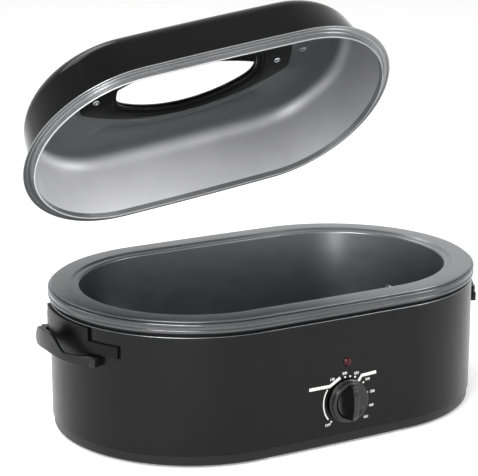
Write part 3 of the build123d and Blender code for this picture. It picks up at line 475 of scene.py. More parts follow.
def lathe(profile: Sequence[Corner], steps: int, soft: int) -> Mesh:
    """Turn a profile of radii and heights, rounded in soft steps, about Z, and fill its ends."""
    bm = bmesh.new()
    line = [bm.verts.new((x * MM, 0, z * MM)) for x, z in rounded(profile, soft)]
    geom = line + [bm.edges.new(pair) for pair in zip(line, line[1:])]
    whole = 2 * math.pi
    bmesh.ops.spin(bm, geom=geom, cent=(0, 0, 0), axis=(0, 0, 1), angle=whole, steps=steps, use_merge=True)
    bmesh.ops.remove_doubles(bm, verts=bm.verts, dist=1e-6)
    cap_open(bm)
    return bm


def cross_screw(bm: Mesh, radius: float, height: float, matrix: Matrix) -> None:
    """Add a pan head with a cross recess, facing +Z, with its seat at z = 0."""
    head = bmesh.new()
    bmesh.ops.create_grid(head, x_segments=3, y_segments=3, size=1.0)
    arm, slot = radius * 0.52, radius * 0.13
    for vertex in head.verts:
        for axis in (0, 1):
            reach = arm if abs(vertex.co[axis]) > 0.5 else slot
            vertex.co[axis] = math.copysign(reach, vertex.co[axis])
        vertex.co.z = height
    middles = [(face, face.calc_center_median()) for face in head.faces]
    recess = [face for face, middle in middles if min(abs(middle.x), abs(middle.y)) < slot]
    sunk = bmesh.ops.extrude_face_region(head, geom=recess)["geom"]
    bmesh.ops.delete(head, geom=recess, context="FACES_ONLY")
    bmesh.ops.translate(head, vec=(0, 0, -height * 0.5), verts=vertices_in(sunk))
    rims = [
        loop for loop in boundary(head) if all(abs(v.co.z - height) < 1e-9 for e in loop for v in e.verts)
    ]
    turns = ((0.78, 0.96), (0.93, 0.78), (1.0, 0.5), (1.0, 0.0))
    circles = [Ellipse(radius * share, radius * share).at(height * level) for share, level in turns]
    last = draw_out(head, max(rims, key=len), circles)
    bmesh.ops.holes_fill(head, edges=last, sides=0)
    facing_out(head)
    bmesh.ops.transform(head, matrix=matrix, verts=head.verts)
    absorb(bm, head)


def spread_out(point: Vector) -> float:
    """A number of a point's own, by which a mesh is put in the same order in every run."""
    return point.x + math.e * point.y + math.pi * point.z


def placed(name: str, data: bpy.types.ID) -> bpy.types.Object:
    """Make an object of a mesh, curve, lamp or camera, and put it in the scene."""
    made = bpy.data.objects.new(name, data)
    bpy.context.scene.collection.objects.link(made)
    return made


@dataclass
class Piece:
    """A finished piece of the object, with what it rides on and stands for."""

    name: str
    body: str
    slot: str
    finishes: Sequence[object]
    replaces: Sequence[str] = ()
    crease: float = 40.0

    def make(self, bm: Mesh, bevel: float = 0.0) -> bpy.types.Object:
        """Turn a mesh into the piece, with the width of its sharp edges' rounding, and report it."""
        bm.verts.sort(key=lambda v: spread_out(v.co))
        bm.faces.sort(key=lambda f: spread_out(f.calc_center_median()))
        mesh = bpy.data.meshes.new(self.name)
        bm.to_mesh(mesh)
        bm.free()
        mesh.shade_smooth()
        mesh.set_sharp_from_angle(angle=math.radians(self.crease))
        made = placed(self.name, mesh)
        for finish in self.finishes:
            mesh.materials.append(finish.material())
        if bevel:
            rounding = made.modifiers.new("rounding", "BEVEL")
            rounding.width = bevel
            rounding.segments = 3
            rounding.angle_limit = math.radians(35)
            rounding.harden_normals = True
        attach(made, self.body)
        if self.replaces:
            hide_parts(*self.replaces)
        LOG.info("%s: %d faces, rides on %s", self.name, len(mesh.polygons), self.body)
        return made


# ------------------------------ shared plan
@dataclass(frozen=True)
class Oval:
    """The body's plan: two long shallow bows joined by two round ends."""

    half_length: float = 280 * MM
    half_width: float = 178 * MM
    bow_radius: float = 5600 * MM
    bow_steps: int = 12
    end_steps: int = 44

    @property
    def end_radius(self) -> float:
        """The radius of each round end."""
        w, b, a = self.half_width, self.bow_radius, self.half_length
        return (2 * w * b - w * w - a * a) / (2 * b - 2 * a)

    @property
    def end_centre(self) -> float:
        """How far from the middle the round ends turn."""
        return self.half_length - self.end_radius

    @property
    def bow_centre(self) -> float:
        """How far behind the middle the front bow turns."""
        return self.bow_radius - self.half_width

    def wall_y(self, x: float, inset: float) -> float:
        """The Y of the front bow at x."""
        return self.bow_centre - math.sqrt((self.bow_radius - inset) ** 2 - x * x)

    def spin(self, section: Sequence[Point], closed: bool = True) -> Mesh:
        """Carry a section, given as inset from the plan and height, round the body."""
        bm = bmesh.new()
        line = [bm.verts.new((0, inset - self.half_width, height)) for inset, height in section]
        edges = [bm.edges.new(pair) for pair in zip(line, line[1:])]
        if closed:
            edges.append(bm.edges.new((line[-1], line[0])))
        geom: list = line + edges
        sweep = math.atan2(self.bow_centre, self.end_centre)
        bow = math.pi / 2 - sweep
        arcs = [
            ((0, self.bow_centre, 0), bow, self.bow_steps),
            ((self.end_centre, 0, 0), 2 * sweep, self.end_steps),
            ((0, -self.bow_centre, 0), 2 * bow, 2 * self.bow_steps),
            ((-self.end_centre, 0, 0), 2 * sweep, self.end_steps),
            ((0, self.bow_centre, 0), bow, self.bow_steps),
        ]
        for centre, angle, steps in arcs:
            geom = bmesh.ops.spin(
                bm, geom=geom, cent=centre, axis=(0, 0, 1), angle=angle, steps=steps, use_duplicate=False
            )["geom_last"]
        seam = {v: min(line, key=lambda u: (u.co - v.co).length) for v in vertices_in(geom)}
        bmesh.ops.weld_verts(bm, targetmap=seam)
        return bm

    def solid(self, section: Sequence[Point], closed: bool = True) -> Mesh:
        """Carry a section round the body, and fill the two open loops that an open section leaves."""
        bm = self.spin(section, closed)
        if not closed:
            cap_open(bm)
        facing_out(bm)
        return bm


class Plan:
    """A closed line round the middle."""

    def radius(self, bearing: float) -> float:
        """The distance from the middle to the line at a bearing."""
        raise NotImplementedError

    def at(self, height: float) -> Place:
        """What gives the line's points at a height."""
        return lambda bearing: Vector((*polar(self.radius(bearing), bearing), height))


@dataclass(frozen=True)
class Outline(Plan):
    """A long window outline: two shallow arcs cut by straight ends, with blended corners."""

    half_length: float
    half_width: float
    end_half: float
    softness: float = 18.0

    def grown(self, by: float) -> "Outline":
        """The outline moved out all round."""
        return Outline(self.half_length + by, self.half_width + by, self.end_half + by, self.softness)

    def radius(self, bearing: float) -> float:
        """The distance from the middle to the edge at a bearing."""
        drop = self.half_width - self.end_half
        arc = (self.half_length**2 + drop**2) / (2 * drop)
        below = arc - self.half_width
        rise = abs(math.sin(bearing))
        to_arc = -rise * below + math.sqrt(max((rise * below) ** 2 - below**2 + arc**2, 0.0))
        to_end = self.half_length / max(abs(math.cos(bearing)), 1e-6)
        return (to_arc**-self.softness + to_end**-self.softness) ** (-1 / self.softness)


@dataclass(frozen=True)
class Ellipse(Plan):
    """A plain ellipse."""

    half_length: float
    half_width: float

    def radius(self, bearing: float) -> float:
        """The distance from the middle to the edge at a bearing."""
        a, b = self.half_length, self.half_width
        return a * b / math.hypot(b * math.cos(bearing), a * math.sin(bearing))


OVAL = Oval()


# ------------------------------ body
@dataclass
class Body:
    """Housing, trim and foot band, with the fixed sheet metal inside."""

    wall_inset: float = 2.2
    wall_top: float = 160.0
    wall_bottom: float = 16.3
    band_inset: float = 4.0
    turned_edge: float = 1.0
    shadow_top: float = 163.6

    def build(self) -> None:
        """Build the shell's visible pieces, with the trim's skirt painted shadow black below its rolls."""
        wall = [
            (self.wall_inset, self.wall_bottom, 0), (self.wall_inset, self.wall_top, 1.3),
            (5.6, self.wall_top, 0.4), (5.6, self.wall_top - self.turned_edge, 0.0),
            (self.wall_inset + 1.0, self.wall_top - self.turned_edge, 0.0),
            (self.wall_inset + 1.0, self.wall_bottom, 0),
        ]
        shell = OVAL.solid(scaled(rounded(wall)))
        # Faces on the turned top edge get the bright metal of the painted highlight
        for face in shell.faces:
            face.material_index = int(face.calc_center_median().z > (self.wall_top - self.turned_edge) * MM)
        enamels = [BODY_ENAMEL, EDGE_HIGHLIGHT_METAL]
        Piece("housing_shell", "base", "black_body", enamels, ["housing_wall"]).make(shell)
        rim = [
            (27, 176.0, 0), (0.4, 176.0, 1.6), (0.4, 173.2, 1.2), (1.5, 172.5, 0.6),
            (1.5, 168.9, 0.6), (0.4, 168.0, 1.2), (0.4, 164.6, 1.7), (5.9, 164.6, 1.5),
            (5.9, 150, 0),
        ]
        trim = OVAL.solid(scaled(sheet_section(rim, 0.8, 8)))
        # Painted shadow: the steel skirt under the rolls takes the frame's black phenolic
        for face in trim.faces:
            face.material_index = int(face.calc_center_median().z < self.shadow_top * MM)
        Piece("rolled_trim", "base", "bright_rim", [TRIM_STEEL, FRAME_PHENOLIC], ["top_rim"]).make(trim)
        inner = self.wall_inset + 1.4
        band = [
            (18, 3, 0), (self.band_inset, 3, 2.4), (self.band_inset, 15.2, 0.6),
            (self.band_inset + 0.6, 16, 0.0), (inner + 0.6, 16, 0.0), (inner + 0.6, 26, 0.3),
            (6.6, 26, 0.3), (6.6, 5.6, 0.3), (18, 5.6, 0),
        ]
        ring_mesh = OVAL.solid(scaled(rounded(band)))
        Piece("foot_band", "base", "black_ring", [BAND_PLASTIC], ["base_ring"]).make(ring_mesh)

    def dress(self) -> None:
        """Give the CAD nodes of the base that stay in view their finishes."""
        finishes = {
            ZINC: ("bottom_cover", "thermostat_bracket", "element_clips", "well_clips", "lens_nut"),
            ALUMINISED: ("heating_well",),
            HEATER_STEEL: ("heating_element",),
            GLASS_FIBRE: ("insulation",),
            GLASS_SLEEVE: ("thermal_fuse",),
            COPPER: ("sensing_bulb",),
            CREAM_PHENOLIC: ("thermostat", "terminal_block"),
            FOOT_RUBBER: ("feet", "cord_grommet"),
            SCREW_STEEL: (
                "handle_screws", "cover_screws", "foot_screws", "thermostat_nut",
                "thermostat_shaft", "knob_spring", "earth_stud", "element_terminals",
            ),
            LAMP_GLASS: ("neon_lamp",),
            WIRE_BROWN: ("live_wire", "switched_wire", "element_wire"),
            WIRE_BLUE: ("neutral_wire",),
            WIRE_GREEN: ("earth_wire",),
            WIRE_WHITE: ("lamp_leads",),
            SEAL_SILICONE: ("window_seal",),
            FRAME_PHENOLIC: ("left_handle_plate", "right_handle_plate"),
            RACK_CHROME: ("rack", "left_rack_loop", "right_rack_loop"),
        }
        for finish, names in finishes.items():
            for name in names:
                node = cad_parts[name]
                node.data.materials.clear()
                node.data.materials.append(finish.material())
                LOG.info("%s: dressed as %s", name, finish.name)


def scaled(points: Iterable[Point]) -> list[Point]:
    """Turn points in millimetres into metres."""
    return [(x * MM, y * MM) for x, y in points]


# ------------------------------ lifting handles
@dataclass
class LiftingHandle:
    """A phenolic loop on one end, with a raised lip to hold."""

    side: str
    reach: float = 23.0
    root: float = 18.0
    half_span: float = 70.0
    thickness: float = 5.5
    end_growth: float = 1.5
    bottom: float = 115.0
    sweep: float = 7.0
    low_top: float = 126.5
    lip_top: float = 145.5
    lip_angle: float = 12.0
    lip_fall: float = 25.0
    lean: float = 1.6
    foot_angle: float = 23.0
    foot: Point = (11.0, 9.0)

    def top_at(self, angle: float) -> float:
        """The height of the upper edge at an angle round the loop: a raised lip that ends softly."""
        share = min(max((math.degrees(abs(angle)) - self.lip_angle) / self.lip_fall, 0.0), 1.0)
        return self.lip_top - (self.lip_top - self.low_top) * share * share * (3 - 2 * share)

    def bottom_at(self, out: float) -> float:
        """The height of the lower edge at a distance out from the rim."""
        share = min(max((out - 2.0) / (self.reach - 2.0), 0.0), 1.0)
        return self.bottom + self.sweep * (1 - math.sqrt(1 - share**2 * 0.96))

    def build(self) -> None:
        """Build the loop with its two feet, which take the screws from inside the wall."""
        bm = cut_cube({1: 63, 2: 5})
        end = OVAL.half_length / MM
        for vertex in bm.verts:
            across, along, up = vertex.co.x + 0.5, vertex.co.y * 2, vertex.co.z + 0.5
            angle = along * math.pi / 2
            long_axis = self.reach + self.root - self.thickness * (1 - across)
            wide_axis = self.half_span - (self.thickness + self.end_growth) * (1 - across)
            out = long_axis * math.cos(angle) - self.root
            low, high = self.bottom_at(out), self.top_at(angle)
            x = end + out - self.lean * (1 - up) * max(out, 0) / self.reach
            vertex.co = Vector((x, wide_axis * math.sin(angle), low + (high - low) * up)) * MM
        depth, width = self.foot
        for sign in (-1, 1):
            turn = Matrix.Rotation(math.radians(sign * self.foot_angle), 4, "Z")
            away = OVAL.end_radius + (depth / 2 - Body.wall_inset + 0.15) * MM
            centre = Vector((OVAL.end_centre, 0, (self.bottom + self.low_top) / 2 * MM))
            place = Matrix.Translation(centre) @ turn @ Matrix.Translation((away, 0, 0))
            block(bm, Vector((depth, width, self.low_top - self.bottom)) * MM, 1.2 * MM, place)
        if self.side == "left":
            bmesh.ops.scale(bm, vec=(-1, 1, 1), verts=bm.verts)
        facing_out(bm)
        name = f"{self.side}_grip"
        Piece(name, "base", "black_phenolic", [PHENOLIC], [f"{self.side}_handle"]).make(bm, bevel=1.3 * MM)


# ------------------------------ controls
@dataclass
class Controls:
    """Knob, dial print and indicator light at the front."""

    centre_x: float = 10.0
    centre_z: float = 57.0
    knob_radius: float = 27.0
    blade: Corner = (11.5, 44.0, 17.0)
    blade_foot: float = 6.0
    lamp_z: float = 105.0
    print_inset: float = Body.wall_inset
    ink: float = 0.06
    dot_radius: float = 29.5
    arc_radius: float = 32.6
    number_bearings: tuple[tuple[str, float, float], ...] = (
        ("150", 125.5, 36.0), ("200", 96.0, 34.2), ("250", 67.5, 34.2), ("300", 36.5, 36.0),
        ("350", 7.4, 36.6), ("400", -20.0, 37.2), ("450", -43.5, 38.0),
    )
    dot_bearings: tuple[float, ...] = (95.8, 81.7, 67.5, 38.3, 9.2, -20.0, -44.0)
    off_dot: Point = (-21.6, -23.6)

    def on_wall(self, bm: Mesh) -> None:
        """Lay a flat mesh, drawn in millimetres about the dial's middle, on the bowed wall as ink."""
        film = bmesh.ops.extrude_face_region(bm, geom=bm.faces[:])["geom"]
        bmesh.ops.translate(bm, vec=(0, 0, self.ink), verts=vertices_in(film))
        for vertex in bm.verts:
            x = (self.centre_x + vertex.co.x) * MM
            y = OVAL.wall_y(x, self.print_inset * MM) - (vertex.co.z + 0.02) * MM
            vertex.co = Vector((x, y, (self.centre_z + vertex.co.y) * MM))
        facing_out(bm)

    def strip(self, bm: Mesh, points: Sequence[Point], width: float) -> None:
        """Draw a flat strip of even width along points, in millimetres about the dial's middle."""
        line = [Vector(p) for p in points]
        start = None
        for i, here in enumerate(line):
            before, after = line[max(i - 1, 0)], line[min(i + 1, len(line) - 1)]
            along = (after - before).normalized()
            across = Vector((-along.y, along.x)) * width / 2
            if start is None:
                pair = [bm.verts.new((*(here + across), 0)), bm.verts.new((*(here - across), 0))]
                start = bm.edges.new(pair)
                continue
            made = bmesh.ops.extrude_edge_only(bm, edges=[start])["geom"]
            ends = sorted(vertices_in(made), key=lambda v: -(v.co.xy - before).dot(across))
            ends[0].co, ends[1].co = Vector((*(here + across), 0)), Vector((*(here - across), 0))
            start = edges_in(made)[0]

    def dial_print(self) -> None:
        """Build the dial's arc, brackets, dots and numbers as one film of ink."""
        bm = bmesh.new()
        arc = [math.radians(147 + k * 71 / 24) for k in range(25)]
        self.strip(bm, [polar(self.arc_radius, a) for a in arc], 1.7)
        self.strip(bm, [(-52.6, 21.4), (-24.0, 21.4), (-9.8, 29.6)], 3.9)
        self.strip(bm, [(41.3, 28.4), (20.6, 27.4), (16.2, 21.2)], 3.9)
        spots = [polar(self.dot_radius, math.radians(bearing)) for bearing in self.dot_bearings]
        for spot in (*spots, self.off_dot):
            dot = bmesh.ops.create_circle(bm, cap_ends=True, segments=20, radius=1.25)["verts"]
            bmesh.ops.translate(bm, vec=(*spot, 0), verts=dot)
        for text, bearing, radius in (*self.number_bearings, ("OFF", 226.0, 37.6)):
            self.letter(bm, text, math.radians(bearing), radius)
        self.on_wall(bm)
        Piece("dial_print", "base", "black_body", [PRINT_INK]).make(bm)

    def letter(self, bm: Mesh, text: str, bearing: float, radius: float) -> None:
        """Add a plain number or word of the dial as flat faces, at a bearing and a distance out."""
        curve = bpy.data.curves.new("print", "FONT")
        curve.body, curve.size, curve.align_x, curve.align_y = text, 4.5, "CENTER", "CENTER"
        curve.offset = 0.10
        curve.resolution_u = 3
        holder = placed("print", curve)
        bpy.context.view_layer.update()
        shown = holder.evaluated_get(bpy.context.evaluated_depsgraph_get())
        mesh = bpy.data.meshes.new_from_object(shown)
        mesh.transform(Matrix.Translation((*polar(radius, bearing), 0)))
        bm.from_mesh(mesh)
        bpy.data.objects.remove(holder)
        bpy.data.curves.remove(curve)
        bpy.data.meshes.remove(mesh)

    def turned(self, height: float) -> Matrix:
        """The matrix that takes a piece drawn along +Z, with +Y up, to the front wall at a height."""
        x = self.centre_x * MM
        place = Matrix.Translation((x, OVAL.wall_y(x, self.print_inset * MM), height * MM))
        return place @ Matrix.Rotation(math.pi / 2, 4, "X")

    def knob(self) -> None:
        """Build the knob: a turned skirt with a tall blade across it."""
        edge, seat = self.knob_radius, 22.5
        profile = [
            (seat, 6.0, 0), (seat, 1.6, 0), (edge - 0.2, 1.6, 0.4), (edge - 0.4, 4.2, 0.8),
            (edge - 2.0, 5.0, 0.5), (edge - 2.2, 10.2, 1.8), (edge - 6.2, 10.4, 1.6),
            (edge - 9.0, 8.4, 2.4), (0.0, 8.2, 0),
        ]
        bm = lathe(profile, 72, 5)
        blade = cut_cube({1: 23})
        _, length, height = self.blade
        bmesh.ops.scale(blade, vec=Vector(self.blade) * MM, verts=blade.verts)
        for vertex in blade.verts:
            along = vertex.co.y / (length / 2 * MM)
            vertex.co.x *= math.sqrt(1 - min(abs(along) ** 5, 1.0) * 0.75)
            if vertex.co.z > 0:
                vertex.co.x *= 0.66
                vertex.co.z -= (3.4 * along**2 + 3.4 * along**6) * MM
            vertex.co.z += (self.blade_foot + height / 2) * MM
        sharp = [e for e in blade.edges if e.calc_face_angle(0) > 0.6]
        bmesh.ops.bevel(
            blade, geom=sharp, offset=1.3 * MM, affect="EDGES", segments=4, profile=0.5, material=-1
        )
        absorb(bm, blade)
        facing_out(bm)
        bmesh.ops.transform(bm, matrix=self.turned(self.centre_z), verts=bm.verts)
        Piece("control_knob", "knob", "black_phenolic", [KNOB_PHENOLIC], ["knob"]).make(bm)

    def lamp(self) -> None:
        """Build the domed jewel of the indicator light, a cap with a hollow neck."""
        cap = [(0, 3.6, 0), (3.6, 3.6, 3.4), (5.5, 0.9, 0.8), (5.5, 0.1, 0), (4.2, 0.05, 0)]
        neck = [(4.2, -8, 0), (3.2, -8, 0), (3.2, 1.0, 0.8), (0, 1.4, 0)]
        bm = lathe(cap + neck, 40, 6)
        facing_out(bm)
        bmesh.ops.transform(bm, matrix=self.turned(self.lamp_z), verts=bm.verts)
        Piece("indicator_jewel", "base", "red_lens", [RED_JEWEL], ["indicator_lens"]).make(bm)

    def build(self) -> None:
        """Build the knob, the print and the lamp."""
        self.knob()
        self.dial_print()
        self.lamp()


# ------------------------------ pan
@dataclass
class Pan:
    """The lift-out pan: a broad flange, tapered walls and a grooved bottom."""

    flange_top: float = 179.0
    bottom: float = 60.0
    sheet: float = 1.2
    taper: float = 4.5
    opening: float = 38.0
    shade_depth: float = 40.0
    shade_length: float = 0.5

    def build(self) -> None:
        """Build the pan."""
        middle = self.sheet / 2
        wall_top = self.opening - middle
        depth = self.flange_top - self.bottom - self.sheet
        foot = wall_top + depth * math.tan(math.radians(self.taper))
        floor = self.bottom + middle
        line = [
            (4.1, 176.7, 0), (4.1, self.flange_top - middle, 1.2),
            (27.6, self.flange_top - middle, 0.9), (29.4, self.flange_top - middle - 2.2, 0.9),
            (wall_top, self.flange_top - middle - 2.2, 2.6), (foot, floor, 19.4),
            (foot + 26, floor, 0.6), (foot + 27.4, floor - 0.5, 0.6),
            (foot + 30.6, floor - 0.5, 0.6), (foot + 32, floor, 0.6), (foot + 36, floor, 0),
        ]
        outline = sheet_section(line, self.sheet, 7)
        half = len(outline) // 2
        opened = outline[half:] + outline[:half]
        bm = OVAL.solid(scaled(opened), closed=False)
        # Painted shade: darker down inside the pan and towards its left end
        level = bm.verts.layers.float.new("level")
        for vertex in bm.verts:
            down = (self.flange_top * MM - vertex.co.z) / (self.shade_depth * MM)
            vertex[level] = min(max(0.5 - vertex.co.x / self.shade_length, down, 0.0), 1.0)
        Piece("roasting_pan", "pan", "pan_steel", [PAN_STEEL], ["insert_pan"]).make(bm)


# ------------------------------ lid
@dataclass
class Lid:
    """The domed lid with its long window, built closed and then tipped back."""

    hinge: Corner = (0.0, 210.6, 204.4)
    yaw: float = 5.9
    rise: float = 11.1
    tilt: float = 53.0
    edge: float = 32.2
    root: float = 45.0
    sheet: float = 1.0
    flange_bottom: float = 179.4
    flange: float = 1.6
    skirt: float = 6.0
    # height of the skirt's bottom strip left in bright steel as a painted highlight line
    highlight_edge: float = 0.6
    top: float = 265.4
    taper: float = 9.0
    shoulder: float = 30.6
    window: Outline = Outline(97 * MM, 47 * MM, 17 * MM)
    plate: Outline = Outline(145 * MM, 60 * MM, 20 * MM, 48.0)
    screw_x: float = 125.0
    dimple_x: float = 166.0
    frame_depth: float = 6.5
    grip_half: float = 143.0
    gap_half: float = 107.0

    def pose(self) -> Matrix:
        """The turn from closed to the rest pose."""
        rise, yaw = math.radians(self.rise), math.radians(self.yaw)
        axis = Vector((math.cos(rise) * math.cos(yaw), math.cos(rise) * math.sin(yaw), math.sin(rise)))
        turn = Matrix.Rotation(-math.radians(self.tilt), 4, axis)
        hinge = Vector(self.hinge) * MM
        return Matrix.Translation(hinge) @ turn @ Matrix.Translation(-hinge)

    def place(self, bm: Mesh) -> Mesh:
        """Turn a closed piece to the rest pose."""
        bmesh.ops.transform(bm, matrix=self.pose(), verts=bm.verts)
        return bm

    def shell(self) -> None:
        """Build the dome, enamelled outside and bare inside, with its pressed lines."""
        low, root, edge = self.flange_bottom, self.root, self.edge
        flange_top = low + self.flange
        lean = math.tan(math.radians(self.taper))
        top_in = self.top - self.sheet
        outer = root + (self.top - flange_top) * lean
        inner = root + self.sheet + (top_in - flange_top) * lean
        flat = outer + 32

        def groove(start: float, end: float) -> list[Corner]:
            """Give a line pressed up into the flange."""
            up = low + 0.8
            return [(start, low, 0.4), (start + 0.5, up, 0.2), (end - 0.5, up, 0.2), (end, low, 0.4)]

        section = [
            (flat, self.top, 0), (outer, self.top, self.shoulder), (root, flange_top, 1.2),
            (edge, flange_top, 0.75), (edge, low, 0.75), *groove(edge + 2.6, edge + 4.8),
            *groove(root - 4.4, root - 2.4), (root - 1, low, 0.3),
            (root - 1, low - self.skirt, 0.5), (root + 1, low - self.skirt, 0.5),
            (root + self.sheet + 0.1, flange_top, 0.0), (inner, top_in, self.shoulder - 1),
            (flat, top_in, 0),
        ]
        bm = OVAL.spin(scaled(rounded(section, 9)), closed=False)
        loops = sorted(boundary(bm), key=lambda loop: loop[0].verts[0].co.z)
        hole = self.window.grown(7 * MM)
        ends = []
        for loop, level in zip(loops, (top_in, self.top)):
            places: list[Place] = []
            for half_length, half_width in ((156.0, 76.0), (144.0, 66.5)):
                for out, drop in ((1.9, 0.0), (0.9, 0.8), (0.0, 1.1), (-0.9, 0.8), (-1.9, 0.0)):
                    bead = Ellipse((half_length + out) * MM, (half_width + out) * MM)
                    places.append(bead.at((level - drop) * MM))
            places.append(hole.at(level * MM))
            ends += draw_out(bm, loop, places)
        bmesh.ops.bridge_loops(bm, edges=ends)
        facing_out(bm)
        # The rolled rim takes the darker steel of painted shade
        for face in bm.faces:
            height = face.calc_center_median().z
            outside = face.normal.z > 0.05 and height > (flange_top + 0.05) * MM
            # The skirt's lowest strip keeps the bright inside steel as a painted highlight line
            rolled = low - self.skirt + self.highlight_edge < height / MM < flange_top + 0.05
            face.material_index = 1 if outside else 2 if rolled else 0
        # Painted shade inside the dome, deepest over the ceiling and towards the right end
        shade_layer = bm.verts.layers.float.new("level")
        for vertex in bm.verts:
            vertex[shade_layer] = self.painted_shade_at(vertex.co.x, vertex.co.z / MM - top_in)
        steels = [DOME_STEEL, DOME_ENAMEL, SHADED_RIM_STEEL]
        Piece("lid_dome", "lid", "lid_enamel", steels, ["lid_shell"]).make(self.place(bm))

    def painted_shade_at(self, x: float, height: float) -> float:
        """How deep the painted shade inside is at x metres and a height over the ceiling in millimetres.

        The painted shade is deepest in the ceiling, and deeper towards the right end.
        """
        start = 0.72 - 0.40 * min(max((-x - 0.14) / 0.08, 0.0), 1.0)
        up = (height + self.shoulder * start) / (self.shoulder * (start - 0.2))
        return min(max(up, 0.28 + 1.45 * x, 0.0), 1.0)

    def frame_ring(self, name: str, node: str, base: float, edge: list[Point], inside: list[Point]) -> None:
        """Build one side of the frame, from how far out and up each row of its outlines lies."""
        places = [self.plate.grown(by * MM).at((base + up) * MM) for by, up in edge]
        places += [self.window.grown(by * MM).at((base + up) * MM) for by, up in inside]
        bm = bmesh.new()
        ring(bm, places)
        made = Piece(name, "lid", "black_phenolic", [FRAME_PHENOLIC], [node])
        made.make(self.place(bm), bevel=0.25 * MM)

    def frame_plate(self) -> None:
        """Build the ribbed frame inside and the smooth one outside."""
        deep = self.frame_depth
        base = self.top - self.sheet - 0.1 - deep
        edge = [(0.0, deep), (0.0, 1.6), (-0.5, 0.5), (-1.6, 0.0)]
        ribs = [(10.0, 0.0), (9.4, 1.1), (7.8, 1.1), (7.2, 0.1), (5.6, 0.1), (5.0, 1.9), (2.9, 2.2)]
        ribs += [(2.3, 1.2), (0.8, 1.3), (0.0, 2.2), (0.0, deep - 1.5), (7.0, deep - 1.5), (7.0, deep)]
        self.frame_ring("window_frame_inner", "window_frame", base, edge, ribs)
        edge = [(0.0, 0.0), (0.0, 3.0), (-0.6, 4.4), (-2.0, 5.0)]
        lip = [(2.0, 5.0), (0.5, 4.4), (0.0, 3.4), (0.0, 1.5), (7.0, 1.5), (7.0, 0.0)]
        self.frame_ring("window_frame_outer", "window_bezel", self.top + 0.1, edge, lip)

    def glass(self) -> None:
        """Build the window pane."""
        low, high = self.top - 2.5, self.top + 1.5
        pane = self.window.grown(4.5 * MM)
        bm = bmesh.new()
        levels = [
            pane.grown(-0.4 * MM).at(low * MM),
            pane.at((low + 0.4) * MM),
            pane.at((high - 0.4) * MM),
            pane.grown(-0.4 * MM).at(high * MM),
        ]
        ring(bm, levels, closed=False)
        made = Piece("window_pane", "lid", "clear_glass", [WINDOW_GLASS], ["window_glass"], crease=15.0)
        made.make(self.place(bm))

    def screws(self) -> None:
        """Build the two screws and the pressed dimples beyond the frame."""
        seat = self.top - self.sheet - 0.1 - self.frame_depth + 1.45
        bm = bmesh.new()
        for sign in (-1, 1):
            place = Matrix.Translation(Vector((sign * self.screw_x, 0, seat)) * MM)
            cross_screw(bm, 4.6 * MM, 3.2 * MM, place @ Matrix.Rotation(math.pi, 4, "X"))
        Piece("window_screws", "lid", "screw_steel", [SCREW_STEEL], ["lid_screws"]).make(self.place(bm))
        bm = bmesh.new()
        for sign in (-1, 1):
            made = bmesh.ops.create_uvsphere(bm, u_segments=32, v_segments=16, radius=1.0)["verts"]
            bmesh.ops.scale(bm, vec=Vector((6.5, 4.5, 1.5)) * MM, verts=made)
            middle = Vector((sign * self.dimple_x, 0, self.top - self.sheet)) * MM
            bmesh.ops.translate(bm, vec=middle, verts=made)
        cut = Vector((0, 0, self.top - self.sheet + 0.2)) * MM
        geom = bm.verts[:] + bm.edges[:] + bm.faces[:]
        bmesh.ops.bisect_plane(bm, geom=geom, plane_co=cut, plane_no=(0, 0, 1), clear_outer=True)
        cap_open(bm)
        Piece("lid_dimples", "lid", "lid_enamel", [SHADED_RIM_STEEL]).make(self.place(bm))

    def grip(self) -> None:
        """Build the arched handle over the window."""
        foot = self.top + 5.15
        crown, bar, width = 306.0, 13.0, 25.0
        bm = cut_cube({0: 47})

        def arch(x: float, half: float, low: float, high: float) -> float:
            """Give the height of a shallow arch through (half, low) and (0, high)."""
            rise = high - low
            radius = (half * half + rise * rise) / (2 * rise)
            return high - radius + math.sqrt(max(radius * radius - x * x, 0.0))

        for vertex in bm.verts:
            x = vertex.co.x * 2 * self.grip_half
            over = arch(x, self.grip_half, foot + 3, crown)
            under = foot if abs(x) > self.gap_half else arch(x, self.gap_half, foot, crown - bar)
            waist = 1.0 - 0.10 * math.cos(math.pi * x / (2 * self.grip_half))
            z = over if vertex.co.z > 0 else under
            vertex.co = Vector((x * MM, vertex.co.y * width * waist * MM, z * MM))
        made = Piece("lid_grip", "lid", "black_phenolic", [PHENOLIC], ["lid_handle"])
        made.make(self.place(bm), bevel=3.2 * MM)

    def build(self) -> None:
        """Build every piece of the lid."""
        self.shell()
        self.frame_plate()
        self.glass()
        self.screws()
        self.grip()


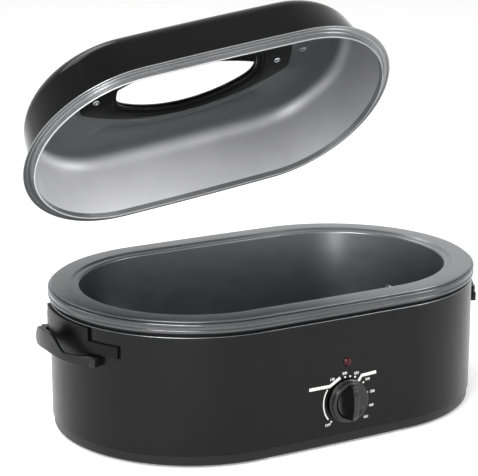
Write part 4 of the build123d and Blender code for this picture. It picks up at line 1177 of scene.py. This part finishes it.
# ------------------------------ studio
@dataclass
class Studio:
    """Pale floor, white surroundings, soft lamps and the camera."""

    camera_at: Corner = (-1.0730, -1.8276, 0.7798)
    aim: Corner = (-0.0378, 0.0, 0.222)
    lens_mm: float = 132.37

    def stand(self, name: str, data: bpy.types.ID, at: Corner, aim: Corner) -> bpy.types.Object:
        """Place a camera or lamp so that it faces a point."""
        made = placed(name, data)
        made.location = at
        made.rotation_euler = (Vector(aim) - Vector(at)).to_track_quat("-Z", "Y").to_euler()
        return made

    def camera(self) -> None:
        """Place the camera."""
        data = bpy.data.cameras.new("camera")
        data.lens, data.sensor_width = self.lens_mm, 36.0
        bpy.context.scene.camera = self.stand("camera", data, self.camera_at, self.aim)

    def lamp(
        self, name: str, at: Corner, size: Point, watts: float, aim: Corner, spread: float = 180.0
    ) -> None:
        """Add an area lamp that faces a point, its light fanned out by the spread in degrees."""
        data = bpy.data.lights.new(name, "AREA")
        data.spread = math.radians(spread)
        data.shape = "RECTANGLE"
        data.size, data.size_y = size
        data.energy = watts
        self.stand(name, data, at, aim)

    def white_seen(self, tree: Tree) -> Socket:
        """Add what is 1 where the camera sees a surface, straight, mirrored or through glass."""
        path = add_node(tree, "LightPath").outputs
        either = larger(tree, path["Is Camera Ray"], path["Is Glossy Ray"])
        return larger(tree, either, path["Is Transmission Ray"])

    def surroundings(self) -> None:
        """Make the world white to look at and softer as a light."""
        world = bpy.data.worlds.new("studio")
        bpy.context.scene.world = world
        tree = emptied(world)
        light, seen = (
            add_node(tree, "Background", Color=linear("#ffffff"), Strength=strength).outputs[0]
            for strength in (0.55, 1.0)
        )
        mix = add_node(tree, "MixShader", n0=self.white_seen(tree), n1=light, n2=seen)
        surfaced(tree, "OutputWorld", mix)

    def floor(self) -> None:
        """Lay the pale floor."""
        bm = bmesh.new()
        bmesh.ops.create_grid(bm, x_segments=1, y_segments=1, size=8.0)
        mesh = bpy.data.meshes.new("floor")
        bm.to_mesh(mesh)
        bm.free()
        made = placed("floor", mesh)
        material = bpy.data.materials.new("floor_white_paper")
        tree = emptied(material)
        paper = add_node(tree, "BsdfPrincipled", Base_Color=linear("#f4f4f4"), Roughness=0.6)
        glow = add_node(tree, "Emission", Color=linear("#ffffff"), Strength=0.32)
        both = add_node(tree, "AddShader", n0=paper.outputs[0], n1=glow.outputs[0])
        seen = self.white_seen(tree)
        mix = add_node(tree, "MixShader", n0=seen, n1=paper.outputs[0], n2=both.outputs[0])
        surfaced(tree, "OutputMaterial", mix)
        mesh.materials.append(material)

    def build(self) -> None:
        """Set up the whole studio."""
        self.camera()
        self.surroundings()
        self.floor()
        middle, dome = (0, 0, 0.2), (-0.24, 0.19, 0.34)
        self.lamp("key", (-2.0, -1.6, 2.1), (1.4, 1.2), 85, middle)
        self.lamp("fill", (2.0, -1.7, 1.5), (0.9, 1.3), 26, middle)
        self.lamp("back", (-0.6, 2.2, 2.4), (2.0, 1.0), 24, middle)
        self.lamp("low", (-1.0, -1.5, 0.55), (0.5, 0.5), 0.6, dome, 34.0)
        bpy.context.scene.view_settings.view_transform = "Standard"


def main() -> None:
    """Build the studio and every sub-assembly in order."""
    logging.basicConfig(level=logging.INFO, format="%(name)s: %(message)s")
    Studio().build()
    body = Body()
    body.build()
    body.dress()
    for side in ("left", "right"):
        LiftingHandle(side).build()
    Controls().build()
    Pan().build()
    Lid().build()


if __name__ == "__main__":
    main()
